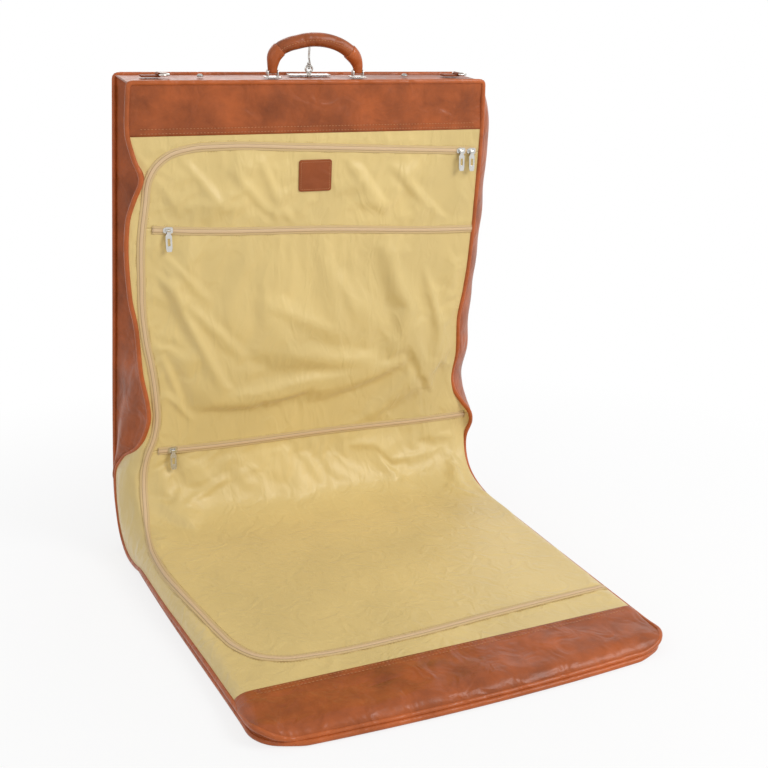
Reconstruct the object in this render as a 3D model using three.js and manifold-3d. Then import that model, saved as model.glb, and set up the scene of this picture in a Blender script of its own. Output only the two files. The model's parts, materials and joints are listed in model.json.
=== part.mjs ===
// A leather and nylon garment bag, standing half open: the lower half lies on the floor and the
// upper half stands up from the fold, leaning a little forward over it.
// Millimetres, +Z up, front towards -Y. The origin is the bottom centre of the whole bag.
import * as THREE from 'three';
import { mergeVertices } from 'three/addons/utils/BufferGeometryUtils.js';
import Module from 'manifold-3d';

const wasm = await Module();
wasm.setup();

// ---- Driving dimensions -------------------------------------------------------------------

const BAG_WIDTH = 580; // across the upper half, over its edge beads
const UPPER_HEIGHT = 656; // fold axis to the top of the upper half
const LOWER_LENGTH = 623; // fold axis to the end of the lower half
const DEPTH = 97; // upper half, front face to back face
const FRONT_SETBACK = 3; // fold axis to the front face
const LEAN = 6.9; // degrees that the upper half leans forward
const FLARE = 26; // how much wider each side gets from the top to the fold
const END_TAPER = 20; // how much narrower each side of the lower half is at its far end

const LEATHER = 2.4; // thickness of the outer leather
const CLOTH = 1.6; // thickness of a nylon layer with its backing
const BEAD_RADIUS = 4; // leather bead along every edge
const GAP = 0.3; // left between pieces that are sewn or screwed together

const HEADER_DROP = 80; // leather band at the top of the front
const PLEAT_DEPTH = 24; // how far the side gussets fold inwards
const GUSSET_STEPS = 10;
const LINING_INSET = 12; // lining in from the edges of its panel
const RAMP_RUN = 75; // where the lower half's front face starts, from the fold axis
const RAMP_HEIGHT = 50; // its height there
const END_HEIGHT = 24; // height of the front face at the far end
const CORNER_RADIUS = 45; // plan radius of the far corners
const FOOTER_DEPTH = 111; // leather band across the far end
const END_BULGE = 14; // how far the far edge bows out in its middle
const TOP_CORNER_RADIUS = 9; // of the edge beads at the top corners

const ZIP_TAPE = 14; // zip tape width
const ZIP_CHAIN = 5; // closed chain width
const ZIP_TAPE_THICKNESS = 1.2;
const ZIP_CHAIN_RISE = 1.2; // chain above the tape
const MAIN_ZIP_DROP_LEFT = 94; // main zip below the top, where it starts to turn down
const MAIN_ZIP_DROP_RIGHT = 115; // and at its closed end
const MAIN_ZIP_BEND_WIDTH = 85;
const MAIN_ZIP_BEND_HEIGHT = 108;
const MAIN_ZIP_INSET = 20; // main zip in from the edge bead
const MAIN_ZIP_END_INSET = 52; // its bottom run, up from the footer
const POCKET_ZIP_DROP = 218; // upper pocket zip below the top, left end
const POCKET_ZIP_RISE = 74; // lower pocket zip above the fold axis, left end
const POCKET_ZIP_FALL = [27, 6]; // how much lower their right ends are
const POCKET_BAG_INSET = 12;
const POCKET_BAG_RISE = 20; // pocket bag's lower edge above the lower pocket zip

const PATCH_WIDTH = 54;
const PATCH_HEIGHT = 47;
const PATCH_DROP = 122;

const FRAME_WIDTH = 40; // steel rail under the top panel
const FRAME_THICKNESS = 2.5;
const FRAME_INSET = 8; // its ends in from the side edges
const TOP_CENTRE = 10; // handle and hook, right of the middle
const HANDLE_SPAN = 140; // between the handle's two pivots
const HANDLE_RISE = 54; // pivot to the top of the grip's middle line
const HANDLE_DEPTH_AT = 34; // handle behind the front face
const GRIP_WIDTH = 22;
const GRIP_HEIGHT = 17;
const PIVOT_RISE = 8; // handle pivot above the top panel
const PIVOT_PIN_RADIUS = 2;
const PIVOT_CLEARANCE = 0.5;
const BRACKET_FOOT = [12, 10, 1.6]; // half length, half depth and thickness of its foot
const EAR_INNER = 7; // ears' inner faces from the middle of the bracket
const EAR_THICKNESS = 2;
const EAR_RADIUS = 4.5;
const LOOP_WIDTH = 11; // handle's loops, between the ears
const LOOP_WALL = 2.1; // leather round the pin

const HOOK_BEHIND = 30; // hook behind the handle
const HOOK_WIRE = 1.7; // wire radius
const HOOK_HEIGHT = 50;
const HOOK_CROOK = 13; // radius of the crook
const EYE_RADIUS = 5.4; // hook eye, to the middle of its wire
const SWIVEL_RADIUS = 3; // the eye's post
const SWIVEL_CLEARANCE = 0.4;
const SWIVEL_HEAD = [2.5, 2]; // the post's head: how much wider than the post, and its thickness
const HOOK_PLATE = [34, 8, 1.2]; // half length, half depth and thickness
const EYE_RISE = 2.5; // under side of the eye above the top panel
const HOOK_LOOP = 4.4; // radius of the hook's own loop round the eye

const RING_BARS = { left: -231, right: 262 }; // the D-rings' straight sides, from the middle of the top
const RING_WIDTH = 22;
const RING_LENGTH = 16;
const RING_WIRE = 1.5;
const TAB_LENGTH = 26; // leather tab that holds each ring
const TAB_THICKNESS = 2.4;
const TAB_LOOP_WALL = 1.6; // tab leather round the ring's bar
const RING_CLEARANCE = 0.5;
const STUD_AT = 168;
const STUD_RADIUS = 5;
const STUD_HEIGHT = 3.5;

const SLIDER_LENGTH = 15;
const SLIDER_WIDTH = 10;
const SLIDER_HEIGHT = 4.5;
const PULL_LENGTH = 32;
const PULL_WIDTH = 10;
const PULL_THICKNESS = 1.6;
const PULL_NECK = 5; // width of the pull at its pin
const PULL_KNUCKLE = 1.8; // radius of the pull's eye
const PULL_PIN_RADIUS = 0.8;
const PULL_CLEARANCE = 0.3;
const PULL_WINDOW = 2; // half width of the slot in the pull
const SLIDER_EAR = 1.2; // thickness of the slider's ears
const SLIDER_EAR_GAP = 0.4; // from the pull's neck to each ear
const POCKET_SLIDER_IN = 24; // pocket sliders from the left end of their zips
const SLIDER_SPACING = 19;

const CLAMP_WIDTH = 90; // hanger clamp inside the top
const CLAMP_HEIGHT = 34;
const CLAMP_PLATE = 2;
const CLAMP_AT = -48; // its middle, left of the bag's middle
const CLAMP_DEPTH = 16;
const CLAMP_PIN_RADIUS = 1.5;
const CLAMP_PIN_BACK = 9; // its hinge pin behind the fixed plate's front
const CLAMP_PIN_DROP = 8; // and below the clamp's own top
const CLAMP_SLEEVE_RADIUS = 3.2;
const CLAMP_CLEARANCE = 0.4;
const CLAMP_EAR = 4;

const STRAP_H = 275.52; // webbing strap above the fold axis
const STRAP_WIDTH = 24;
const STRAP_THICKNESS = 1.9;
const STRAP_INSET = 30; // its ends in from the side edges

// ---- Places worked out from them ----------------------------------------------------------

const HALF = BAG_WIDTH / 2;
const BEAD_X = HALF - BEAD_RADIUS;
const EDGE_X = BEAD_X - BEAD_RADIUS - GAP; // where the flat layers stop
const BACK = FRONT_SETBACK + DEPTH;
const FOLD_Z = BACK; // the fold's outer leather touches the floor under the axis
const BEAD_Y = FRONT_SETBACK + BEAD_RADIUS / 2;
const BACK_BEAD_Y = BACK - BEAD_RADIUS;
const TOP_BEAD_H = UPPER_HEIGHT - BEAD_RADIUS;
const TOP_EDGE_H = TOP_BEAD_H - BEAD_RADIUS - GAP;
const HEADER_H = UPPER_HEIGHT - HEADER_DROP;
const TAPE_HALF = ZIP_TAPE / 2 + GAP;
const LOWER_FRONT = LOWER_LENGTH - RAMP_RUN;
const LOWER_SLOPE = Math.atan2(RAMP_HEIGHT - END_HEIGHT, LOWER_FRONT);
const LOWER_HALF = HALF + FLARE;
const LINING_Y = BACK - LEATHER - GAP - CLOTH;
const POCKET_ZIP_H = [UPPER_HEIGHT - POCKET_ZIP_DROP, POCKET_ZIP_RISE];
const FOLD_TOP = POCKET_ZIP_H[1] - POCKET_ZIP_FALL[1] - ZIP_TAPE / 2; // soft fold zone reaches here
const CHAIN_FACE = FRONT_SETBACK - ZIP_CHAIN_RISE;

const radians = THREE.MathUtils.degToRad;

// ---- Finishes -----------------------------------------------------------------------------

const FINISHES = {
  leather: [0xb0643e, 0.55, 0],
  dark_leather: [0x8a4a2a, 0.6, 0],
  nylon: [0xd4bc7a, 0.6, 0],
  lining: [0xb49b62, 0.7, 0],
  zip_tape: [0xbfa07a, 0.7, 0],
  nickel: [0xc8c8c4, 0.25, 1],
  steel: [0x9a9a98, 0.4, 1],
  webbing: [0x8a6a45, 0.8, 0],
};

function piece(parent, name, geometry, finish) {
  const [color, roughness, metalness] = FINISHES[finish];
  const material = new THREE.MeshStandardMaterial({ color, roughness, metalness });
  const mesh = new THREE.Mesh(geometry, material);
  mesh.name = name;
  parent.add(mesh);
}

// ---- Solid helpers ------------------------------------------------------------------------

function toSolid(geometry) {
  const bare = geometry.clone();
  bare.deleteAttribute('normal');
  bare.deleteAttribute('uv');
  const merged = mergeVertices(bare, 1e-4);
  const vertProperties = new Float32Array(merged.attributes.position.array);
  const triVerts = new Uint32Array(merged.index.array);
  return new wasm.Manifold(new wasm.Mesh({ numProp: 3, vertProperties, triVerts }));
}

function fromSolid(solid) {
  const mesh = solid.getMesh();
  const geometry = new THREE.BufferGeometry();
  geometry.setAttribute('position', new THREE.BufferAttribute(new Float32Array(mesh.vertProperties), 3));
  geometry.setIndex(new THREE.BufferAttribute(new Uint32Array(mesh.triVerts), 1));
  return geometry;
}

function joined(...geometries) {
  return fromSolid(geometries.map(toSolid).reduce((whole, next) => whole.add(next)));
}

function cut(geometry, ...tools) {
  return fromSolid(tools.map(toSolid).reduce((left, tool) => left.subtract(tool), toSolid(geometry)));
}

function common(a, b) {
  return fromSolid(toSolid(a).intersect(toSolid(b)));
}

function outline(points) {
  return new THREE.Shape(points.map(([x, y]) => new THREE.Vector2(x, y)));
}

// A flat layer: outline in (x, height along the panel), from yFront towards the back.
function layer(points, thickness, yFront) {
  const geometry = new THREE.ExtrudeGeometry(outline(points), { depth: thickness, bevelEnabled: false });
  return geometry.rotateX(Math.PI / 2).translate(0, yFront + thickness, 0);
}

// A prism standing on (x, y), from low to high. More steps let its walls be warped evenly.
function upright(points, low, high, steps = 1) {
  const settings = { depth: high - low, steps, bevelEnabled: false };
  return new THREE.ExtrudeGeometry(outline(points), settings).translate(0, 0, low);
}

// A prism lying along X, with its outline in (y, z).
function across(points, left, right) {
  const geometry = new THREE.ExtrudeGeometry(outline(points), { depth: right - left, bevelEnabled: false });
  const toYZ = new THREE.Matrix4().makeBasis(
    new THREE.Vector3(0, 1, 0), new THREE.Vector3(0, 0, 1), new THREE.Vector3(1, 0, 0));
  return geometry.applyMatrix4(toYZ).translate(left, 0, 0);
}

function block(low, high) {
  const size = high.map((value, i) => value - low[i]);
  const middle = high.map((value, i) => (value + low[i]) / 2);
  return new THREE.BoxGeometry(...size).translate(...middle);
}

function rod(radius, length, sides = 20) {
  return new THREE.CylinderGeometry(radius, radius, length, sides);
}

// A route through given points in straight steps, so that a bar along it turns only at them.
class Route extends THREE.Curve {
  constructor(points) {
    super();
    this.points = points.map((p) => new THREE.Vector3(...p));
  }

  getPointAt(share) {
    const place = share * (this.points.length - 1);
    const i = Math.min(Math.floor(place), this.points.length - 2);
    return this.points[i].clone().lerp(this.points[i + 1], place - i);
  }

  getTangentAt(share) {
    const i = Math.round(share * (this.points.length - 1));
    const steps = [[i - 1, i], [i, i + 1]].filter(([a, b]) => a >= 0 && b < this.points.length);
    const tangent = new THREE.Vector3();
    for (const [a, b] of steps) tangent.add(this.points[b].clone().sub(this.points[a]).normalize());
    return tangent.normalize();
  }
}

// A round bar, or one of another section, along a route of points.
function bar(points, radius, sides = 8, section = null) {
  const round = new THREE.Shape();
  round.absarc(0, 0, radius, 0, 2 * Math.PI);
  const extrudePath = new Route(points);
  const settings = { steps: points.length - 1, curveSegments: sides / 2, extrudePath, bevelEnabled: false };
  return new THREE.ExtrudeGeometry(section ?? round, settings);
}

// Points of a smooth curve through a few given ones.
function smooth(points, count) {
  const curve = new THREE.CatmullRomCurve3(points.map((p) => new THREE.Vector3(...p)), false, 'centripetal');
  return curve.getPoints(count).map((p) => p.toArray());
}

// Moves every vertex by a rule, keeping the solid closed.
function warp(geometry, rule) {
  const position = geometry.attributes.position;
  for (let i = 0; i < position.count; i += 1) {
    const [x, y, z] = rule(position.getX(i), position.getY(i), position.getZ(i));
    position.setXYZ(i, x, y, z);
  }
  return geometry;
}

// Points set off sideways from a flat path, to its left when distance is positive.
function offset(path, distance) {
  return path.map(([x, y], i) => {
    const before = path[Math.max(i - 1, 0)];
    const after = path[Math.min(i + 1, path.length - 1)];
    const run = Math.hypot(after[0] - before[0], after[1] - before[1]);
    return [x - (distance * (after[1] - before[1])) / run, y + (distance * (after[0] - before[0])) / run];
  });
}

function ribbon(path, halfWidth) {
  return [...offset(path, halfWidth), ...offset(path, -halfWidth).reverse()];
}

// A quarter bend between two points, whose sides meet at the corner.
function bend(start, corner, end, count = 10) {
  const curve = new THREE.QuadraticBezierCurve(
    new THREE.Vector2(...start), new THREE.Vector2(...corner), new THREE.Vector2(...end));
  return curve.getPoints(count).map((p) => [p.x, p.y]);
}

function zip(path) {
  const tape = layer(ribbon(path, ZIP_TAPE / 2), ZIP_TAPE_THICKNESS, FRONT_SETBACK);
  const overlap = ZIP_TAPE_THICKNESS / 2;
  const chain = layer(ribbon(path, ZIP_CHAIN / 2), ZIP_CHAIN_RISE + overlap, CHAIN_FACE);
  return joined(tape, chain);
}

// ---- The three parts of the bag -----------------------------------------------------------

const bag = new THREE.Group();
const upper = new THREE.Group(); // panel frame: z runs up the panel from the fold, y to its back
upper.position.set(0, 0, FOLD_Z);
upper.rotation.x = radians(LEAN);
const lower = new THREE.Group(); // level with the floor, y = 0 under the fold axis
const lowerFront = new THREE.Group(); // panel frame of the lower front face, z towards the fold
lowerFront.position.set(0, -RAMP_RUN, RAMP_HEIGHT + FRONT_SETBACK);
lowerFront.rotation.x = LOWER_SLOPE - Math.PI / 2;
bag.add(upper, lower, lowerFront);

// The upper half's sides flare towards the fold and the back.
function flared(x, y, h) {
  const share = (1 - h / UPPER_HEIGHT) * ((y - FRONT_SETBACK) / DEPTH);
  return [x + Math.sign(x) * FLARE * share, y, h];
}

// ---- Upper half: shell --------------------------------------------------------------------

function upperShell() {
  const backHigh = EDGE_X;
  const backLow = EDGE_X + FLARE;
  const clip = TOP_CORNER_RADIUS * 0.4; // the layers' top corners are clipped to clear the beads' turn
  const topEdge = [
    [backHigh, TOP_EDGE_H - clip], [backHigh - clip, TOP_EDGE_H],
    [-backHigh + clip, TOP_EDGE_H], [-backHigh, TOP_EDGE_H - clip]];
  const back = [[-backLow, 0], [backLow, 0], ...topEdge];
  piece(upper, 'back_panel', layer(back, LEATHER, BACK - LEATHER), 'leather');

  const lining = [
    [-backLow + LINING_INSET, LINING_INSET], [backLow - LINING_INSET, LINING_INSET],
    [backHigh - LINING_INSET, TOP_EDGE_H - LINING_INSET],
    [-backHigh + LINING_INSET, TOP_EDGE_H - LINING_INSET]];
  piece(upper, 'back_lining', layer(lining, CLOTH, LINING_Y), 'lining');

  const headerLow = HEADER_H + GAP;
  const header = [[-EDGE_X, headerLow], [EDGE_X, headerLow], ...topEdge];
  piece(upper, 'header_band', layer(header, LEATHER, FRONT_SETBACK), 'leather');

  const topLow = UPPER_HEIGHT - BEAD_RADIUS / 2 - LEATHER;
  const topPanel = block(
    [-EDGE_X, BEAD_Y + BEAD_RADIUS + GAP, topLow],
    [EDGE_X, BACK_BEAD_Y - BEAD_RADIUS - GAP, topLow + LEATHER]);
  const postHole = rod(SWIVEL_RADIUS + SWIVEL_CLEARANCE, 3 * LEATHER)
    .rotateX(Math.PI / 2)
    .translate(TOP_CENTRE, HOOK_Y, topLow + LEATHER / 2);
  piece(upper, 'top_panel', cut(topPanel, postHole), 'leather');
}

// The gusset is folded inwards along its middle, like a bellows.
function gusset(side) {
  const y0 = BEAD_Y + BEAD_RADIUS + GAP;
  const y2 = BACK_BEAD_Y - BEAD_RADIUS - GAP;
  const y1 = (y0 + y2) / 2;
  const wall = [
    [BEAD_X, y0], [BEAD_X - PLEAT_DEPTH, y1], [BEAD_X, y2],
    [BEAD_X - LEATHER, y2], [BEAD_X - PLEAT_DEPTH - LEATHER * 1.3, y1], [BEAD_X - LEATHER, y0]];
  const sides = wall.map(([x, y]) => [side * x, y]);
  const name = side < 0 ? 'gusset_left' : 'gusset_right';
  piece(upper, name, warp(upright(sides, 0, TOP_EDGE_H, GUSSET_STEPS), flared), 'leather');
}

// Edge beads run up one side, across the top and down the other.
function edgeBead(name, y, startH, finish) {
  const turn = TOP_CORNER_RADIUS;
  const corner = Array.from({ length: 5 }, (_, i) => {
    const angle = (i / 4) * (Math.PI / 2);
    return [BEAD_X - turn + turn * Math.cos(angle), y, TOP_BEAD_H - turn + turn * Math.sin(angle)];
  });
  const half = [[BEAD_X, y, startH], [BEAD_X, y, (startH + TOP_BEAD_H) / 2], ...corner];
  const mirrored = half.map(([x, yy, h]) => [-x, yy, h]).reverse();
  piece(upper, name, warp(bar([...half, [0, y, TOP_BEAD_H], ...mirrored], BEAD_RADIUS), flared), finish);
}

// ---- Upper half: front layers and zips ----------------------------------------------------

const zipLeftX = -(BEAD_X - MAIN_ZIP_INSET);
const zipTopLeft = [zipLeftX + MAIN_ZIP_BEND_WIDTH, UPPER_HEIGHT - MAIN_ZIP_DROP_LEFT];
const zipTopRight = [EDGE_X - GAP, UPPER_HEIGHT - MAIN_ZIP_DROP_RIGHT];
const zipBendEnd = [zipLeftX, zipTopLeft[1] - MAIN_ZIP_BEND_HEIGHT];
const mainZipPath = [
  zipTopRight, ...bend(zipTopLeft, [zipLeftX, zipTopLeft[1] + 2], zipBendEnd), [zipLeftX, FOLD_TOP + GAP]];
const mainZipFall = Math.atan2(zipTopLeft[1] - zipTopRight[1], zipTopRight[0] - zipTopLeft[0]);

const pocketLeftX = zipLeftX + TAPE_HALF;
const pocketZipPaths = POCKET_ZIP_H.map((h, i) => [
  [pocketLeftX + 2 * GAP, h], [EDGE_X - GAP, h - POCKET_ZIP_FALL[i]]]);
const pocketZipFalls = pocketZipPaths.map(([a, b]) => Math.atan2(a[1] - b[1], b[0] - a[0]));

function upperFront() {
  const outer = offset(mainZipPath, -TAPE_HALF);
  const inner = offset(mainZipPath, TAPE_HALF);
  const border = [
    [EDGE_X, HEADER_H - GAP], ...outer.map(([x, h], i) => (i === 0 ? [EDGE_X, h] : [x, h])),
    [-EDGE_X, FOLD_TOP + GAP], [-EDGE_X, HEADER_H - GAP]];
  piece(upper, 'front_border', layer(border, CLOTH, FRONT_SETBACK), 'nylon');
  piece(upper, 'main_zip_upper', zip(mainZipPath), 'zip_tape');

  const above = offset(pocketZipPaths[0], TAPE_HALF);
  const below = offset(pocketZipPaths[0], -TAPE_HALF);
  const pocketTop = offset(pocketZipPaths[1], TAPE_HALF);
  const flapTop = [
    [EDGE_X, inner[0][1]], ...inner.slice(1, -1), [pocketLeftX, above[0][1]], [EDGE_X, above[1][1]]];
  piece(upper, 'flap_top', layer(flapTop, CLOTH, FRONT_SETBACK), 'nylon');
  const pocketFace = [
    [pocketLeftX, below[0][1]], [EDGE_X, below[1][1]],
    [EDGE_X, pocketTop[1][1]], [pocketLeftX, pocketTop[0][1]]];
  piece(upper, 'pocket_face', layer(pocketFace, CLOTH, FRONT_SETBACK), 'nylon');

  const names = ['pocket_zip_upper', 'pocket_zip_lower'];
  names.forEach((name, i) => piece(upper, name, zip(pocketZipPaths[i]), 'zip_tape'));

  const bagDepth = FRONT_SETBACK + CLOTH + GAP;
  const pocketBag = [
    [pocketLeftX + POCKET_BAG_INSET, pocketTop[0][1] + POCKET_BAG_RISE],
    [EDGE_X - POCKET_BAG_INSET, pocketTop[1][1] + POCKET_BAG_RISE],
    [EDGE_X - POCKET_BAG_INSET, below[1][1]], [pocketLeftX + POCKET_BAG_INSET, below[0][1]]];
  piece(upper, 'pocket_bag', layer(pocketBag, CLOTH, bagDepth), 'lining');

  const patchTop = UPPER_HEIGHT - PATCH_DROP;
  const patch = [
    [-PATCH_WIDTH / 2, patchTop - PATCH_HEIGHT], [PATCH_WIDTH / 2, patchTop - PATCH_HEIGHT],
    [PATCH_WIDTH / 2, patchTop], [-PATCH_WIDTH / 2, patchTop]];
  piece(upper, 'patch', layer(patch, LEATHER, FRONT_SETBACK - GAP - LEATHER), 'leather');
}

// ---- Upper half: frame, handle, hook and fittings -----------------------------------------

const TOP_FACE = UPPER_HEIGHT - BEAD_RADIUS / 2;
const HANDLE_Y = FRONT_SETBACK + HANDLE_DEPTH_AT;
const HOOK_Y = HANDLE_Y + HOOK_BEHIND;
const PIVOT_H = TOP_FACE + PIVOT_RISE;
const EYE_H = TOP_FACE + EYE_RISE + EYE_RADIUS + HOOK_WIRE;
const EYE_BAR_H = EYE_H + EYE_RADIUS;

function topFrame() {
  const high = TOP_FACE - LEATHER - GAP;
  const middle = (HANDLE_Y + HOOK_Y) / 2;
  const rail = block(
    [-EDGE_X + FRAME_INSET, middle - FRAME_WIDTH / 2, high - FRAME_THICKNESS],
    [EDGE_X - FRAME_INSET, middle + FRAME_WIDTH / 2, high]);
  const postHole = rod(SWIVEL_RADIUS + SWIVEL_CLEARANCE, 4 * FRAME_THICKNESS)
    .rotateX(Math.PI / 2)
    .translate(TOP_CENTRE, HOOK_Y, high);
  piece(upper, 'top_frame', cut(rail, postHole), 'steel');
  return high - FRAME_THICKNESS;
}

// A foot plate with two ears and the pin that the handle turns on.
function handleBracket(name, x) {
  const low = TOP_FACE + GAP;
  const [footLength, footDepth, footRise] = BRACKET_FOOT;
  const foot = block(
    [x - footLength, HANDLE_Y - footDepth, low], [x + footLength, HANDLE_Y + footDepth, low + footRise]);
  const ears = [-1, 1].map((side) => {
    const at = x + side * (EAR_INNER + EAR_THICKNESS / 2);
    const cheek = block(
      [at - EAR_THICKNESS / 2, HANDLE_Y - EAR_RADIUS, low],
      [at + EAR_THICKNESS / 2, HANDLE_Y + EAR_RADIUS, PIVOT_H]);
    const round = rod(EAR_RADIUS, EAR_THICKNESS).rotateZ(Math.PI / 2).translate(at, HANDLE_Y, PIVOT_H);
    return joined(cheek, round);
  });
  const pin = rod(PIVOT_PIN_RADIUS, 2 * EAR_INNER + EAR_THICKNESS).rotateZ(Math.PI / 2);
  piece(upper, name, joined(foot, ...ears, pin.translate(x, HANDLE_Y, PIVOT_H)), 'nickel');
}

// The grip is a padded leather arch whose two ends are loops round the bracket pins.
function handle() {
  const half = HANDLE_SPAN / 2;
  const shoulder = HANDLE_RISE * 0.72;
  const side = [
    [half, 6], [half, 20], [half - 3, shoulder - 6],
    [half - 16, shoulder + 6], [half * 0.45, HANDLE_RISE - 2]];
  const arch = [
    ...side.map(([x, h]) => [-x, 0, h]), [0, 0, HANDLE_RISE], ...side.map(([x, h]) => [x, 0, h]).reverse()];
  const section = new THREE.Shape();
  section.absellipse(0, 0, GRIP_WIDTH / 2, GRIP_HEIGHT / 2, 0, 2 * Math.PI);
  const grip = bar(smooth(arch, 36), 0, 12, section);
  // the legs thin down to the width that fits between the ears
  const thinned = warp(grip, (x, y, h) => {
    const near = THREE.MathUtils.smoothstep(h, 4, 30);
    const legX = Math.sign(x) * half;
    return [legX + (x - legX) * (0.62 + 0.38 * near), y * (0.45 + 0.55 * near), h];
  });
  const loops = [-1, 1].map((s) => {
    const eye = rod(PIVOT_PIN_RADIUS + PIVOT_CLEARANCE + LOOP_WALL, LOOP_WIDTH)
      .rotateZ(Math.PI / 2)
      .translate(s * half, 0, 0);
    const neck = block([s * half - 5.2, -2.6, 0.5], [s * half + 5.2, 2.6, 8]);
    return joined(eye, neck);
  });
  const holes = [-1, 1].map((s) =>
    rod(PIVOT_PIN_RADIUS + PIVOT_CLEARANCE, 2 * LOOP_WIDTH).rotateZ(Math.PI / 2).translate(s * half, 0, 0));
  const solid = cut(joined(thinned, ...loops), ...holes);
  piece(upper, 'handle', solid.translate(TOP_CENTRE, HANDLE_Y, PIVOT_H), 'leather');
}

// The hook's eye turns on a post that passes through the top panel and the rail.
function hookSwivel(frameUnderside) {
  const plateLow = TOP_FACE + GAP;
  const [length, depth, thickness] = HOOK_PLATE;
  const hole = rod(SWIVEL_RADIUS + SWIVEL_CLEARANCE, 4 * thickness)
    .rotateX(Math.PI / 2)
    .translate(TOP_CENTRE, HOOK_Y, plateLow);
  const plate = block(
    [TOP_CENTRE - length, HOOK_Y - depth, plateLow],
    [TOP_CENTRE + length, HOOK_Y + depth, plateLow + thickness]);
  piece(upper, 'hook_plate', cut(plate, hole), 'nickel');

  const ring = new THREE.TorusGeometry(EYE_RADIUS, HOOK_WIRE, 10, 28);
  const [headBrim, headRise] = SWIVEL_HEAD;
  const low = frameUnderside - GAP - headRise;
  const postTop = EYE_H - EYE_RADIUS;
  const post = rod(SWIVEL_RADIUS, postTop - low)
    .rotateX(Math.PI / 2)
    .translate(0, 0, (postTop + low) / 2 - EYE_H);
  const head = rod(SWIVEL_RADIUS + headBrim, headRise)
    .rotateX(Math.PI / 2)
    .translate(0, 0, low + headRise / 2 - EYE_H);
  const swivel = joined(ring.rotateX(Math.PI / 2), post, head);
  piece(upper, 'hook_eye', swivel.translate(TOP_CENTRE, HOOK_Y, EYE_H), 'nickel');
}

// Sprung wire bent into a loop round the eye's bar, a shank and a crook.
function hook() {
  const loopSteps = 13;
  const loopPoints = Array.from({ length: loopSteps + 1 }, (_, i) => {
    const angle = radians(150 - (i * 300) / loopSteps);
    return [0, HOOK_LOOP * Math.cos(angle), HOOK_LOOP * Math.sin(angle)];
  }).reverse();
  const crookHigh = HOOK_HEIGHT - HOOK_CROOK;
  const crookSteps = 9;
  const crook = Array.from({ length: crookSteps + 1 }, (_, i) => {
    const angle = Math.PI - (i * radians(194)) / crookSteps;
    return [0, HOOK_CROOK + HOOK_CROOK * Math.cos(angle), crookHigh + HOOK_CROOK * Math.sin(angle)];
  });
  const route = [...loopPoints, [0, 0.6, HOOK_LOOP + 6], [0, 0, crookHigh - 8], ...crook];
  piece(upper, 'hook', bar(route, HOOK_WIRE).translate(TOP_CENTRE, HOOK_Y, EYE_BAR_H), 'nickel');
}

// A leather tab sewn to the top panel holds a D-ring that lies flat and can be lifted.
function shoulderRing(suffix, barX) {
  const ringY = (HANDLE_Y + HOOK_Y) / 2;
  const tabLow = TOP_FACE + GAP;
  const barH = tabLow + TAB_THICKNESS + 0.8;
  const tabHalf = (RING_WIDTH - 8) / 2;
  const loop = rod(RING_WIRE + TAB_LOOP_WALL, 2 * tabHalf).translate(barX, ringY, barH);
  const strip = block(
    [barX - TAB_LENGTH, ringY - tabHalf, tabLow], [barX, ringY + tabHalf, tabLow + TAB_THICKNESS]);
  const hole = rod(RING_WIRE + RING_CLEARANCE, RING_WIDTH).translate(barX, ringY, barH);
  piece(upper, `ring_tab_${suffix}`, cut(joined(loop, strip), hole), 'dark_leather');

  const half = RING_WIDTH / 2 + RING_WIRE;
  const reach = RING_LENGTH;
  const straight = bar([[0, -half, 0], [0, half, 0]], RING_WIRE);
  const bow = bar(smooth([
    [0, -half, 0], [reach * 0.45, -half * 0.97, 0], [reach * 0.85, -half * 0.6, 0], [reach, 0, 0],
    [reach * 0.85, half * 0.6, 0], [reach * 0.45, half * 0.97, 0], [0, half, 0]], 20), RING_WIRE);
  const knuckle = new THREE.SphereGeometry(RING_WIRE * 1.05, 10, 8);
  const knuckles = [-half, half].map((y) => knuckle.clone().translate(0, y, 0));
  const ring = joined(straight, bow, ...knuckles);
  piece(upper, `d_ring_${suffix}`, ring.translate(barX, ringY, barH), 'nickel');
}

function stud(side) {
  const cap = [
    [0, 0], [STUD_RADIUS, 0], [STUD_RADIUS, STUD_HEIGHT * 0.4],
    [STUD_RADIUS * 0.6, STUD_HEIGHT], [0, STUD_HEIGHT]];
  const turned = new THREE.LatheGeometry(cap.map(([r, h]) => new THREE.Vector2(r, h)), 20);
  const geometry = turned
    .rotateX(Math.PI / 2)
    .translate(side * STUD_AT, (HANDLE_Y + HOOK_Y) / 2, TOP_FACE + GAP);
  piece(upper, side < 0 ? 'stud_left' : 'stud_right', geometry, 'steel');
}

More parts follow.
